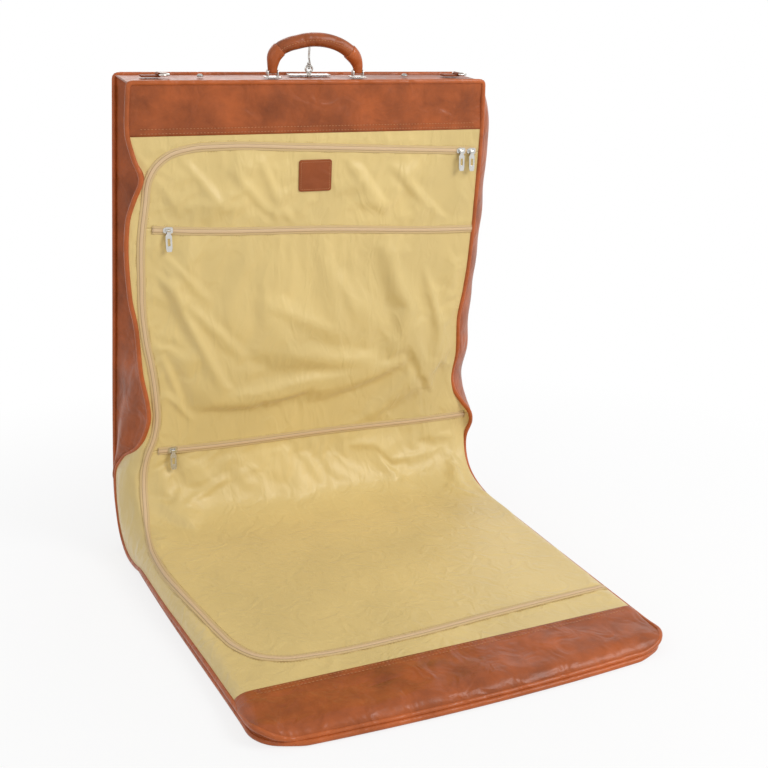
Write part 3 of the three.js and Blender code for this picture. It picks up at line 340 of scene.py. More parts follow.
def distance_to(path, c, s):
    """Distance of each (c, s) from a path, in metres."""
    at = np.stack([np.ravel(c), np.ravel(s)], -1)
    best = np.full(len(at), 9.0)
    for a, b in zip(path[:-1], path[1:]):
        span = b - a
        t = np.clip(((at - a) @ span) / (span @ span), 0, 1)
        best = np.minimum(best, np.linalg.norm(at - a - t[:, None] * span, axis=1))
    return best.reshape(np.shape(c))


def swell(c, s):
    """How far the whole front billows out between its zips and edges."""
    h = TOP_H - s
    pocket = 0.009 * np.sin(math.pi * np.clip((h - 0.09) / 0.31, 0, 1)) ** 1.5
    level = 0.007 * smooth(S_LEVEL - 0.02, S_LEVEL + 0.12, s) * (1 - smooth(S_END - 0.2, S_END - 0.12, s))
    across = np.cos(math.pi / 2 * np.clip(np.abs(c) / 0.27, 0, 1)) ** 0.8
    return (pocket + level) * across


# ---- Helpers that make pieces ------------------------------------------------------------------


def link(name, mesh):
    piece = bpy.data.objects.new(name, mesh)
    bpy.context.scene.collection.objects.link(piece)
    return piece


def sheet_piece(name, columns, rows, place, flip=False):
    """A grid whose corners run from (0, 0) to (1, 1); place gives each point, and uv its metres."""
    bm = bmesh.new()
    bmesh.ops.create_grid(bm, x_segments=columns, y_segments=rows, size=0.5)
    bm.verts.ensure_lookup_table()
    co = np.array([v.co for v in bm.verts])
    u, v = co[:, 0] + 0.5, co[:, 1] + 0.5
    points, across, along = place(u, v)
    for vert, point in zip(bm.verts, points):
        vert.co = point
    layer = bm.loops.layers.uv.new("weave")
    for face in bm.faces:
        for loop in face.loops:
            i = loop.vert.index
            loop[layer].uv = (across[i], along[i])
    if flip:
        bmesh.ops.reverse_faces(bm, faces=bm.faces)
    for face in bm.faces:
        face.smooth = True
    mesh = bpy.data.meshes.new(name)
    bm.to_mesh(mesh)
    bm.free()
    return link(name, mesh)


def tube(name, points, radius, closed=False, sides=3):
    """A round bead or wire along points. The radius may be one number or one for each point."""
    points = np.asarray(points, float)
    curve = bpy.data.curves.new(name, "CURVE")
    curve.dimensions = "3D"
    curve.bevel_depth = 1.0
    curve.bevel_resolution = sides
    curve.use_fill_caps = not closed
    line = curve.splines.new("POLY")
    line.points.add(len(points) - 1)
    line.points.foreach_set("co", np.hstack([points, np.ones((len(points), 1))]).ravel())
    line.points.foreach_set("radius", np.broadcast_to(radius, len(points)).astype(float))
    line.use_cyclic_u = closed
    maker = link(name + "_line", curve)
    graph = bpy.context.evaluated_depsgraph_get()
    mesh = bpy.data.meshes.new_from_object(maker.evaluated_get(graph))
    bpy.data.objects.remove(maker)
    bm = bmesh.new()
    bm.from_mesh(mesh)
    bmesh.ops.remove_doubles(bm, verts=bm.verts, dist=1e-6)
    bmesh.ops.recalc_face_normals(bm, faces=bm.faces)
    for face in bm.faces:
        face.smooth = True
    bm.to_mesh(mesh)
    bm.free()
    mesh.name = name
    return link(name, mesh)


def stitches(name, points, normals, pitch, length, radius):
    """Short thread stitches laid end to end along points."""
    points = np.asarray(points, float)
    steps = np.concatenate([[0], np.cumsum(np.linalg.norm(np.diff(points, axis=0), axis=1))])
    bm = bmesh.new()
    count = int(steps[-1] / pitch)
    for i in range(count):
        mid = (i + 0.5) * pitch
        at = Vector([np.interp(mid, steps, points[:, k]) for k in range(3)])
        ahead = Vector([np.interp(mid + pitch / 2, steps, points[:, k]) for k in range(3)])
        before = Vector([np.interp(mid - pitch / 2, steps, points[:, k]) for k in range(3)])
        along = (ahead - before).normalized()
        out = Vector([np.interp(mid, steps, normals[:, k]) for k in range(3)]).normalized()
        aside = along.cross(out).normalized()
        turn = Matrix((along, aside, out)).transposed().to_4x4()
        size = Matrix.Diagonal((length / 2, radius, radius * 0.8, 1))
        place = Matrix.Translation(at) @ turn @ size
        bmesh.ops.create_icosphere(bm, subdivisions=1, radius=1.0, matrix=place)
    for face in bm.faces:
        face.smooth = True
    mesh = bpy.data.meshes.new(name)
    bm.to_mesh(mesh)
    bm.free()
    return link(name, mesh)


def front_line(path, lift):
    """Points on the front along (c, s) pairs, and the outward direction at each."""
    path = np.asarray(path, float)
    points = front(path[:, 0], path[:, 1], lift)
    above = front(path[:, 0], path[:, 1], lift + 0.001)
    return points, above - points


def offset_path(path, distance):
    step = np.gradient(path, axis=0)
    step /= np.linalg.norm(step, axis=1)[:, None] + 1e-12
    return path + distance * np.stack([-step[:, 1], step[:, 0]], -1)


def thicken(piece, thickness, offset=-1.0):
    wall = piece.modifiers.new("Thickness", "SOLIDIFY")
    wall.thickness = thickness
    wall.offset = offset
    wall.use_even_offset = False


def subdivide(piece, levels=1):
    finer = piece.modifiers.new("Smooth", "SUBSURF")
    finer.levels = levels
    finer.render_levels = levels


def dress(piece, material, body=None, replaces=()):
    """Gives a piece its material and slot, and ties it to a body or across the fold."""
    piece.data.materials.clear()
    piece.data.materials.append(material)
    if body is None:
        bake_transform(piece)
    else:
        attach(piece, body)
    if replaces:
        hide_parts(*replaces)
    return piece


# ---- Materials ---------------------------------------------------------------------------------


def linear(value):
    """An sRGB hex colour as linear RGBA."""
    parts = [((value >> shift) & 255) / 255 for shift in (16, 8, 0)]
    return tuple(p / 12.92 if p <= 0.04045 else ((p + 0.055) / 1.055) ** 2.4 for p in parts) + (1.0,)


def add(tree, kind, inputs=None, **settings):
    """Adds a node; inputs are numbers, colours or the sockets that feed them."""
    node = tree.nodes.new(kind)
    for name, value in settings.items():
        setattr(node, name, value)
    for name, value in (inputs or {}).items():
        if isinstance(value, bpy.types.NodeSocket):
            tree.links.new(value, node.inputs[name])
        else:
            node.inputs[name].default_value = value
    return node


def new_material(name):
    material = bpy.data.materials.new(name)
    material.use_nodes = True
    tree = material.node_tree
    shader = tree.nodes["Principled BSDF"]
    return material, tree, shader


def blend_colours(tree, factor, low, high):
    ramp = add(tree, "ShaderNodeValToRGB", {"Fac": factor})
    ramp.color_ramp.elements[0].color = low
    ramp.color_ramp.elements[1].color = high
    ramp.color_ramp.elements[0].position = 0.3
    ramp.color_ramp.elements[1].position = 0.7
    return ramp.outputs["Color"]


def tanned_leather(name, dark, light, roughness, grain=0.0016):
    """Aniline-dyed cowhide: cloudy colour, a fine pebbled grain and soft creases."""
    material, tree, shader = new_material(name)
    place = add(tree, "ShaderNodeTexCoord").outputs["Object"]
    # clouds of dye about 60 mm across
    clouds = add(tree, "ShaderNodeTexNoise", {"Vector": place, "Scale": 17.0, "Detail": 6.0,
                                              "Roughness": 0.66})
    tree.links.new(blend_colours(tree, clouds.outputs["Fac"], dark, light), shader.inputs["Base Color"])
    pebbles = add(tree, "ShaderNodeTexVoronoi", {"Vector": place, "Scale": 1.0 / grain, "Randomness": 1.0})
    creases = add(tree, "ShaderNodeTexNoise", {"Vector": place, "Scale": 85.0, "Detail": 4.0})
    height = add(tree, "ShaderNodeMath", {0: pebbles.outputs["Distance"], 1: 0.45}, operation="MULTIPLY")
    both = add(tree, "ShaderNodeMath", {0: height.outputs[0], 1: creases.outputs["Fac"]}, operation="ADD")
    # soft dents of a hide that has been pulled over a frame, about 40 mm apart
    dents = add(tree, "ShaderNodeTexNoise", {"Vector": place, "Scale": 24.0, "Detail": 2.0,
                                             "Distortion": 0.8})
    soft = add(tree, "ShaderNodeBump", {"Height": dents.outputs["Fac"], "Strength": 0.75, "Distance": 0.007})
    bump = add(tree, "ShaderNodeBump", {"Height": both.outputs[0], "Strength": 0.35, "Distance": 0.0006,
                                        "Normal": soft.outputs["Normal"]})
    tree.links.new(bump.outputs["Normal"], shader.inputs["Normal"])
    polish = add(tree, "ShaderNodeMapRange", {"Value": creases.outputs["Fac"], "To Min": roughness - 0.08,
                                              "To Max": roughness + 0.10})
    tree.links.new(polish.outputs["Result"], shader.inputs["Roughness"])
    shader.inputs["Specular IOR Level"].default_value = 0.3
    return material


def woven_nylon(name, dark, light):
    """Satin-finished nylon cloth: a close weave that shines softly on the folds."""
    material, tree, shader = new_material(name)
    weave = add(tree, "ShaderNodeTexCoord").outputs["UV"]
    place = add(tree, "ShaderNodeTexCoord").outputs["Object"]
    tone = add(tree, "ShaderNodeTexNoise", {"Vector": place, "Scale": 7.0, "Detail": 3.0, "Roughness": 0.5})
    colour = blend_colours(tree, tone.outputs["Fac"], dark, light)
    # threads are 0.3 mm apart; drawn every 1.2 mm so that they show as a faint rib
    warp = add(tree, "ShaderNodeTexWave", {"Vector": weave, "Scale": 262.0, "Distortion": 0.4},
               wave_type="BANDS", bands_direction="X")
    weft = add(tree, "ShaderNodeTexWave", {"Vector": weave, "Scale": 262.0, "Distortion": 0.4},
               wave_type="BANDS", bands_direction="Y")
    threads = add(tree, "ShaderNodeMath", {0: warp.outputs["Fac"], 1: weft.outputs["Fac"]},
                  operation="MULTIPLY")
    shade = add(tree, "ShaderNodeMapRange", {"Value": threads.outputs[0], "To Min": 0.955, "To Max": 1.02})
    tinted = add(tree, "ShaderNodeVectorMath", {0: colour, "Scale": shade.outputs["Result"]},
                 operation="SCALE")
    tree.links.new(tinted.outputs[0], shader.inputs["Base Color"])
    # small handling creases, about 14 mm across
    creases = add(tree, "ShaderNodeTexNoise", {"Vector": place, "Scale": 70.0, "Detail": 3.0})
    height = add(tree, "ShaderNodeMath", {0: creases.outputs["Fac"], 1: threads.outputs[0]}, operation="ADD")
    # sharp little ridges left by folding, 20 to 50 mm long, drawn out slantwise
    slant = add(tree, "ShaderNodeMapping", {"Vector": place, "Rotation": (0.0, 0.6, 0.0),
                                            "Scale": (1.0, 1.0, 0.45)})
    ridges = add(tree, "ShaderNodeTexNoise", {"Vector": slant.outputs[0], "Scale": 26.0, "Detail": 2.5,
                                              "Distortion": 0.7})
    middle = add(tree, "ShaderNodeMath", {0: ridges.outputs["Fac"], 1: 0.5}, operation="SUBTRACT")
    fold = add(tree, "ShaderNodeMath", {0: middle.outputs[0]}, operation="ABSOLUTE")
    crest = add(tree, "ShaderNodeMapRange", {"Value": fold.outputs[0], "From Max": 0.16, "To Min": 1.0,
                                             "To Max": 0.0}, interpolation_type="SMOOTHSTEP")
    soft = add(tree, "ShaderNodeBump", {"Height": crest.outputs["Result"], "Strength": 0.30,
                                        "Distance": 0.0022})
    bump = add(tree, "ShaderNodeBump", {"Height": height.outputs[0], "Strength": 0.25, "Distance": 0.0005,
                                        "Normal": soft.outputs["Normal"]})
    tree.links.new(bump.outputs["Normal"], shader.inputs["Normal"])
    shader.inputs["Roughness"].default_value = 0.34
    shader.inputs["Specular IOR Level"].default_value = 0.42
    shader.inputs["Sheen Weight"].default_value = 0.25
    shader.inputs["Sheen Roughness"].default_value = 0.35
    return material


def plated_metal(name, colour, roughness):
    """Nickel-plated zinc, polished: bright, with faint fingering in the polish."""
    material, tree, shader = new_material(name)
    place = add(tree, "ShaderNodeTexCoord").outputs["Object"]
    marks = add(tree, "ShaderNodeTexNoise", {"Vector": place, "Scale": 160.0, "Detail": 4.0})
    polish = add(tree, "ShaderNodeMapRange", {"Value": marks.outputs["Fac"], "To Min": roughness - 0.06,
                                              "To Max": roughness + 0.10})
    tree.links.new(polish.outputs["Result"], shader.inputs["Roughness"])
    tint = blend_colours(tree, marks.outputs["Fac"], tuple(0.86 * c for c in colour[:3]) + (1.0,), colour)
    tree.links.new(tint, shader.inputs["Base Color"])
    shader.inputs["Metallic"].default_value = 1.0
    return material


def zip_tape(name, tape, line, teeth):
    """Polyester zip tape: beige selvedges and the coil between, with a brown line each side of the coil that is
    painted shade along its edges.
    """
    material, tree, shader = new_material(name)
    uv = add(tree, "ShaderNodeTexCoord").outputs["UV"]
    parts = add(tree, "ShaderNodeSeparateXYZ", {"Vector": uv})
    ramp = add(tree, "ShaderNodeValToRGB", {"Fac": parts.outputs["X"]})
    ramp.color_ramp.interpolation = "LINEAR"
    # the brown stops at both edges of the coil are painted shade
    stops = [(0.0, tape), (0.285, tape), (0.315, line), (0.36, teeth), (0.64, teeth), (0.685, line),
             (0.715, tape), (1.0, tape)]
    elements = ramp.color_ramp.elements
    while len(elements) < len(stops):
        elements.new(0.5)
    for element, (position, colour) in zip(elements, stops):
        element.position = position
        element.color = colour
    # one coil tooth every 1.6 mm, drawn across the whole width of the tape
    coil = add(tree, "ShaderNodeTexWave", {"Vector": uv, "Scale": 196.0}, wave_type="BANDS",
               bands_direction="Y")
    shade = add(tree, "ShaderNodeMapRange", {"Value": coil.outputs["Fac"], "To Min": 0.82, "To Max": 1.05})
    tinted = add(tree, "ShaderNodeVectorMath", {0: ramp.outputs["Color"], "Scale": shade.outputs["Result"]},
                 operation="SCALE")
    tree.links.new(tinted.outputs[0], shader.inputs["Base Color"])
    bump = add(tree, "ShaderNodeBump", {"Height": coil.outputs["Fac"], "Strength": 0.5, "Distance": 0.0004})
    tree.links.new(bump.outputs["Normal"], shader.inputs["Normal"])
    shader.inputs["Roughness"].default_value = 0.55
    return material


def spun_thread(name, colour):
    """Twisted polyester thread: a fine slanting twist along each stitch."""
    material, tree, shader = new_material(name)
    place = add(tree, "ShaderNodeTexCoord").outputs["Object"]
    twist = add(tree, "ShaderNodeTexWave", {"Vector": place, "Scale": 400.0}, wave_type="BANDS",
                bands_direction="DIAGONAL")
    tint = blend_colours(tree, twist.outputs["Fac"], tuple(0.75 * c for c in colour[:3]) + (1.0,), colour)
    tree.links.new(tint, shader.inputs["Base Color"])
    shader.inputs["Roughness"].default_value = 0.6
    return material


def make_materials(colours):
    def shaded(colour, factor):
        return tuple(factor * c for c in colour[:3]) + (1.0,)

    made = {}
    leather = tuple(colours.leather) + (1.0,)
    nylon = tuple(colours.nylon) + (1.0,)
    made["leather"] = tanned_leather("cowhide_tan", shaded(leather, 0.60), shaded(leather, 1.22), 0.34)
    # a lighter copy of the leather for the rolled edge beads and the handle's leg wraps: its lighter colour is a
    # painted highlight
    made["bead_leather"] = tanned_leather("cowhide_tan_painted_highlight", shaded(leather, 0.95),
                                          shaded(leather, 1.45), 0.32)
    made["dark_leather"] = tanned_leather("cowhide_dark_cut_edge", shaded(leather, 0.5),
                                          shaded(leather, 0.7), 0.55)
    made["patch"] = tanned_leather("cowhide_brown_pressed", shaded(leather, 0.60),
                                   shaded(leather, 0.85), 0.45)
    made["nylon"] = woven_nylon("satin_nylon_khaki_gold", shaded(nylon, 0.93), shaded(nylon, 1.07))
    made["lining"] = woven_nylon("lining_taffeta", shaded(nylon, 0.62), shaded(nylon, 0.72))
    # 0x94704F is the painted shade along the edges of the zip coil
    made["tape"] = zip_tape("polyester_zip_tape", tuple(colours.tape) + (1.0,), linear(0x94704F),
                            linear(0xDDBE94))
    made["metal"] = plated_metal("polished_nickel_plate", tuple(colours.metal) + (1.0,), 0.22)
    made["steel"] = plated_metal("zinc_plated_sheet_steel", linear(0xA6A6A2), 0.38)
    made["thread"] = spun_thread("polyester_thread_tan", linear(0xC98A58))
    made["pale_thread"] = spun_thread("polyester_thread_khaki", linear(0xBFA063))
    return made


# ---- Settings ----------------------------------------------------------------------------------


class BagSizes(bpy.types.PropertyGroup):
    bead_radius: FloatProperty(name="Bead radius", description="Leather bead round every edge",
                               default=0.0037, unit="LENGTH")
    tape_width: FloatProperty(name="Zip tape width", description="Width of the zip tape that shows",
                              default=0.0125, unit="LENGTH")
    pleat_depth: FloatProperty(name="Pleat depth", description="How far the side gussets fold in",
                               default=0.034, unit="LENGTH")
    stitch_pitch: FloatProperty(name="Stitch pitch", description="Distance from stitch to stitch in leather",
                                default=0.0052, unit="LENGTH")
    cloth_slack: FloatProperty(name="Cloth slack", description="Extra length that makes the nylon buckle",
                               default=0.03, subtype="FACTOR")
    cloth_frames: IntProperty(name="Cloth frames", description="Steps that the cloth settles for", default=26)


class BagColours(bpy.types.PropertyGroup):
    leather: FloatVectorProperty(name="Leather", description="Tan cowhide", subtype="COLOR", size=3,
                                 default=linear(0xA15226)[:3])
    nylon: FloatVectorProperty(name="Nylon", description="Khaki gold nylon", subtype="COLOR", size=3,
                               default=linear(0xDCC281)[:3])
    tape: FloatVectorProperty(name="Zip tape", description="Beige zip tape", subtype="COLOR", size=3,
                              default=linear(0xD6B985)[:3])
    metal: FloatVectorProperty(name="Metal", description="Nickel plate", subtype="COLOR", size=3,
                               default=linear(0xD6D4CE)[:3])


MATERIALS = {}


# ---- Nylon ---------------------------------------------------------------------------------------

# soft folds: start and end as (c, s), height and half width, all in metres
FOLDS = [
    ((-0.250, 0.285), (-0.120, 0.420), 0.0050, 0.011), ((-0.235, 0.300), (-0.150, 0.470), 0.0040, 0.010),
    ((-0.245, 0.250), (-0.170, 0.330), 0.0040, 0.008), ((-0.100, 0.330), (0.060, 0.405), 0.0045, 0.016),
    ((-0.090, 0.415), (0.090, 0.455), 0.0050, 0.016), ((-0.150, 0.500), (0.120, 0.475), 0.0040, 0.018),
    ((0.020, 0.290), (0.150, 0.430), 0.0035, 0.020), ((0.120, 0.265), (0.210, 0.480), 0.0040, 0.018),
    ((0.200, 0.300), (0.262, 0.520), 0.0050, 0.012), ((0.150, 0.380), (0.235, 0.540), 0.0040, 0.012),
    ((-0.240, 0.480), (-0.190, 0.545), 0.0040, 0.008), ((-0.248, 0.420), (-0.215, 0.505), 0.0040, 0.007),
    ((-0.200, 0.120), (-0.150, 0.185), 0.0025, 0.010), ((-0.150, 0.110), (-0.070, 0.200), 0.0025, 0.012),
    ((-0.090, 0.115), (-0.050, 0.205), 0.0022, 0.012), ((0.060, 0.120), (0.130, 0.215), 0.0025, 0.014),
    ((0.130, 0.130), (0.230, 0.225), 0.0025, 0.012), ((-0.245, 0.140), (-0.215, 0.195), 0.0028, 0.006),
    ((-0.250, 0.620), (0.020, 0.600), 0.0045, 0.010), ((-0.230, 0.660), (-0.080, 0.625), 0.0050, 0.011),
    ((-0.250, 0.690), (-0.150, 0.640), 0.0040, 0.009), ((0.050, 0.612), (0.280, 0.622), 0.0045, 0.010),
    ((0.150, 0.650), (0.285, 0.640), 0.0040, 0.010), ((-0.260, 0.760), (-0.100, 0.700), 0.0050, 0.013),
    ((-0.100, 0.800), (0.120, 0.760), 0.0040, 0.018), ((-0.050, 0.860), (0.180, 0.830), 0.0035, 0.020),
    ((-0.200, 0.930), (0.000, 0.850), 0.0040, 0.020), ((0.080, 0.900), (0.230, 0.960), 0.0032, 0.016),
    ((-0.210, 1.010), (-0.060, 0.980), 0.0035, 0.016), ((0.000, 1.020), (0.180, 1.040), 0.0030, 0.014),
    ((0.160, 0.700), (0.270, 0.800), 0.0035, 0.016), ((-0.262, 0.850), (-0.200, 0.800), 0.0035, 0.010),
]


def segment_distance(c, s, start, end):
    a, b = np.array(start), np.array(end)
    at = np.stack([c, s], -1) - a
    span = b - a
    t = np.clip((at @ span) / (span @ span), 0, 1)
    return np.linalg.norm(at - t[:, None] * span, axis=1), t


def seam_distance(c, s):
    """Distance to the nearest zip or edge, where the cloth is held."""
    side = np.where(c < 0, -1.0, 1.0)
    edge = reach(side, s) - np.abs(c)
    near = np.minimum(edge, distance_to(MAIN_ZIP, c, s))
    near = np.minimum(near, distance_to(POCKET_PATHS["upper"], c, s))
    near = np.minimum(near, distance_to(POCKET_PATHS["lower"], c, s))
    near = np.minimum(near, np.abs(s - s_at_height(HEADER_H)))
    return np.minimum(near, np.abs(s - s_at_y(FOOTER_Y)))


def patch_distance(c, s):
    high = PATCH_BOX[1]
    across = np.maximum(np.abs(c) - high[0], 0)
    along = np.maximum(np.abs(s - PATCH_S) - PATCH_HALF, 0)
    return np.hypot(across, along)


PULL_AT = (-0.234, s_at_height(0.040))
PATCH_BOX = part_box("patch")
PATCH_HALF = 0.0245
PATCH_S = s_at_height(0.5105)


def sculpted_folds(c, s, seams):
    """Lift of the nylon: soft folds, plus puckers that run in from the seams."""
    random.seed(7)
    lift = np.zeros(len(c))
    for start, end, height, width in FOLDS:
        d, t = segment_distance(c, s, start, end)
        fade = np.sin(math.pi * (0.08 + 0.84 * t)) ** 0.7
        lift += 1.35 * height * fade * (np.exp(-(d / width) ** 2) - 0.45 * np.exp(-(d / (2.1 * width)) ** 2))
    puckers = np.zeros(len(c))
    for path in (MAIN_ZIP, POCKET_PATHS["upper"], POCKET_PATHS["lower"]):
        step = len(path) // max(1, int(len(path) / 6))
        for i in range(2, len(path) - 2, step):
            for turn in (-1, 1):
                if random.random() < 0.35:
                    continue
                along = path[i + 1] - path[i - 1]
                along /= np.linalg.norm(along)
                slant = random.uniform(-0.5, 0.5)
                away = turn * np.array([-along[1], along[0]]) + slant * along
                start = path[i] + away * 0.008
                end = path[i] + away * random.uniform(0.018, 0.045)
                box = np.maximum(np.abs(c - start[0]), np.abs(s - start[1])) < 0.07
                d, t = segment_distance(c[box], s[box], start, end)
                size = random.uniform(0.0007, 0.0019)
                puckers[box] += size * np.exp(-(d / random.uniform(0.0035, 0.006)) ** 2) * (1 - 0.8 * t)
    held = smooth(0.004, 0.030, seams)
    clear = smooth(0.0, 0.03, patch_distance(c, s))
    lift = np.maximum(lift * held, -0.8 * swell(c, s))
    return (lift + puckers * smooth(0.003, 0.010, seams)) * clear - pull_dent(c, s)


def pull_dent(c, s):
    """The cloth lies back where the lower pocket zip's pull hangs in front of it."""
    return 0.0045 * np.exp(-((c - PULL_AT[0]) / 0.016) ** 2 - ((s - PULL_AT[1]) / 0.022) ** 2)


def settle(sheet, pins, slack, frames):
    """Lets the sheet's slack buckle with Cloth, and returns where its points end up."""
    group = sheet.vertex_groups.new(name="held")
    for i, weight in enumerate(pins):
        group.add([i], float(weight), "REPLACE")
    cloth = sheet.modifiers.new("Cloth", "CLOTH")
    cloth.settings.quality = 6
    cloth.settings.mass = 0.12
    cloth.settings.tension_stiffness = 12
    cloth.settings.compression_stiffness = 12
    cloth.settings.shear_stiffness = 3
    cloth.settings.bending_stiffness = 0.25
    cloth.settings.air_damping = 3
    cloth.settings.shrink_min = -slack
    cloth.settings.shrink_max = -slack
    cloth.settings.vertex_group_mass = "held"
    cloth.settings.effector_weights.gravity = 0.03
    cloth.collision_settings.use_collision = False
    cloth.point_cache.frame_end = frames
    for step in range(1, frames + 1):
        bpy.context.scene.frame_set(step)
    graph = bpy.context.evaluated_depsgraph_get()
    settled = np.array([v.co for v in sheet.evaluated_get(graph).data.vertices])
    sheet.modifiers.remove(cloth)
    bpy.context.scene.frame_set(1)
    return settled


def nylon_regions(c, s):
    """Which cut of cloth each face belongs to: border, top flap, pocket face or lower flap."""
    run = MAIN_ZIP
    down = run[run[:, 0] > -0.262]
    near_top = down[down[:, 1] < 0.3]
    far = down[down[:, 1] > 0.9]
    top_s = np.interp(c, near_top[::-1, 0], near_top[::-1, 1])
    end_s = np.interp(c, far[:, 0], far[:, 1])
    first, last = near_top[:, 1].max(), far[:, 1].min()
    body = run[(run[:, 1] >= first) & (run[:, 1] <= last)]
    side_c = np.interp(s, body[:, 1], body[:, 0])
    inside = np.where(c > -0.262, True, c > side_c)
    inside &= (s > np.where(c > near_top[:, 0].min(), top_s, first)) | (s > 0.3)
    inside &= (s < np.where(c > far[:, 0].min(), end_s, last)) | (s < 0.9)
    zips = {name: np.interp(c, path[:, 0], path[:, 1]) for name, path in POCKET_PATHS.items()}
    kind = np.full(len(c), "border", dtype=object)
    kind[inside & (s < zips["upper"])] = "flap_top"
    kind[inside & (s >= zips["upper"]) & (s < zips["lower"])] = "pocket_face"
    kind[inside & (s >= zips["lower"])] = "flap_lower"
    return kind


class BAG_OT_nylon(bpy.types.Operator):
    """Makes the nylon border, flap and pocket face as one draped cloth cut along the zips"""

    bl_idname = "bag.nylon"
    bl_label = "Nylon"

    def execute(self, context):
        sizes = context.scene.bag_sizes
        start, end = s_at_height(HEADER_H) - 0.004, s_at_y(FOOTER_Y) + 0.004
        cell = 0.0058
        columns, rows = int(0.62 / cell), int((end - start) / cell)
        flat = {}

        def place(u, v):
            s = end + (start - end) * v
            k = 2 * u - 1
            side = np.where(k < 0, -1.0, 1.0)
            c = k * reach(side, s)
            seams = seam_distance(c, s)
            flat.update(c=c, s=s, seams=seams)
            return front(c, s, sculpted_folds(c, s, seams)), c, s

        sheet = sheet_piece("nylon", columns, rows, place)
        base = front(flat["c"], flat["s"])
        near_patch = patch_distance(flat["c"], flat["s"])
        pins = np.where(flat["seams"] < 0.0075, 1.0, np.where(near_patch < 0.004, 1.0, 0.0))
        settled = settle(sheet, pins, sizes.cloth_slack, sizes.cloth_frames)
        away = settled - base
        length = np.linalg.norm(away, axis=1)
        cap = 0.002 + 0.010 * smooth(0.005, 0.05, np.minimum(flat["seams"], near_patch + 0.005))
        away *= np.minimum(1, cap / np.maximum(length, 1e-9))[:, None]
        # the cloth stays in front of the pocket behind it
        out = front(flat["c"], flat["s"], 0.001) - base
        out /= np.linalg.norm(out, axis=1)[:, None]
        depth = np.einsum("ij,ij->i", away, out)
        deepest = -0.9 * swell(flat["c"], flat["s"]) + 0.0004 - pull_dent(flat["c"], flat["s"])
        held = deepest + 0.0008 * np.logaddexp(0, (depth - deepest) / 0.0008)
        settled = base + away + out * (held - depth)[:, None]
        sheet.data.vertices.foreach_set("co", settled.ravel())
        cuts = {
            "border": ("nylon_border", (0.06, 2.30), ["front_border", "lower_border"]),
            "flap_top": ("nylon_flap_top", (0.565, 0.152), ["flap_top"]),
            "pocket_face": ("nylon_pocket_face", (0.594, 0.372), ["pocket_face"]),
            "flap_lower": ("nylon_flap_lower", (0.620, 0.570), ["lower_flap", "fold_fabric"]),
        }
        for kind, (name, size, nodes) in cuts.items():
            piece = link(name, sheet.data.copy())
            bm = bmesh.new()
            bm.from_mesh(piece.data)
            bm.faces.ensure_lookup_table()
            corners = np.array([[(flat["c"][v.index], flat["s"][v.index]) for v in f.verts]
                                for f in bm.faces])
            middles = corners.mean(axis=1)
            kinds = nylon_regions(middles[:, 0], middles[:, 1])
            spare = [f for f, k in zip(bm.faces, kinds) if k != kind]
            bmesh.ops.delete(bm, geom=spare, context="FACES")
            bm.to_mesh(piece.data)
            bm.free()
            subdivide(piece)
            thicken(piece, 0.0008)
            dress(piece, MATERIALS["nylon"], replaces=nodes)
        bpy.data.objects.remove(sheet)
        return {"FINISHED"}


# ---- Zips ----------------------------------------------------------------------------------------


def zip_strip(name, path, width, replaces):
    """The tape of one zip, raised along its middle where the coil is."""
    path = np.asarray(path)
    lengths = np.concatenate([[0], np.cumsum(np.linalg.norm(np.diff(path, axis=0), axis=1))])

    def place(u, v):
        at = v * (len(path) - 1)
        i = np.arange(len(path))
        aside = offset_path(path, 1.0) - path
        c = np.interp(at, i, path[:, 0])
        s = np.interp(at, i, path[:, 1])
        nc = np.interp(at, i, aside[:, 0])
        ns = np.interp(at, i, aside[:, 1])
        off = (u - 0.5) * width
        coil = np.clip(1 - (off / 0.0028) ** 2, 0, 1) ** 0.5
        lift = 0.0006 + 0.0010 * coil
        along = np.interp(at, i, lengths)
        return front(c - nc * off, s - ns * off, lift), u, along

    piece = sheet_piece(name, 14, len(path) - 1, place, flip=False)
    thicken(piece, 0.0012)
    return dress(piece, MATERIALS["tape"], replaces=replaces)


class BAG_OT_zips(bpy.types.Operator):
    """Makes the long zip and the two pocket zips, with their rows of stitches"""

    bl_idname = "bag.zips"
    bl_label = "Zips"

    def execute(self, context):
        width = context.scene.bag_sizes.tape_width
        strips = [("zip_main", MAIN_ZIP, ["main_zip_upper", "main_zip_lower", "fold_zip"])]
        for which, path in POCKET_PATHS.items():
            strips.append((f"zip_pocket_{which}", path, [f"pocket_zip_{which}"]))
        for name, path, nodes in strips:
            zip_strip(name, path, width, nodes)
            for side, label in ((-1, "inner"), (1, "outer")):
                points, normals = front_line(offset_path(path, side * (width / 2 + 0.0016)), 0.0006)
                row = stitches(f"{name}_stitches_{label}", points, normals, 0.0042, 0.0030, 0.00035)
                dress(row, MATERIALS["pale_thread"])
        return {"FINISHED"}


# ---- Leather on the front --------------------------------------------------------------------------


def front_band(name, s_top, s_low, columns, rows, lift, ripple):
    def place(u, v):
        s = s_low + (s_top - s_low) * v
        k = 2 * u - 1
        side = np.where(k < 0, -1.0, 1.0)
        c = k * reach(side, s)
        near = np.minimum(v, 1 - v)
        wave = np.sin(c * 41 + 1.3) * np.sin(c * 17)
        wave = wave + 0.8 * np.sin(c * 23 + v * 3.1) * np.sin(v * 4.0 + c * 9)
        wave = ripple * wave * smooth(0, 0.35, near)
        return front(c, s, lift + wave), c, s

    return sheet_piece(name, columns, rows, place)


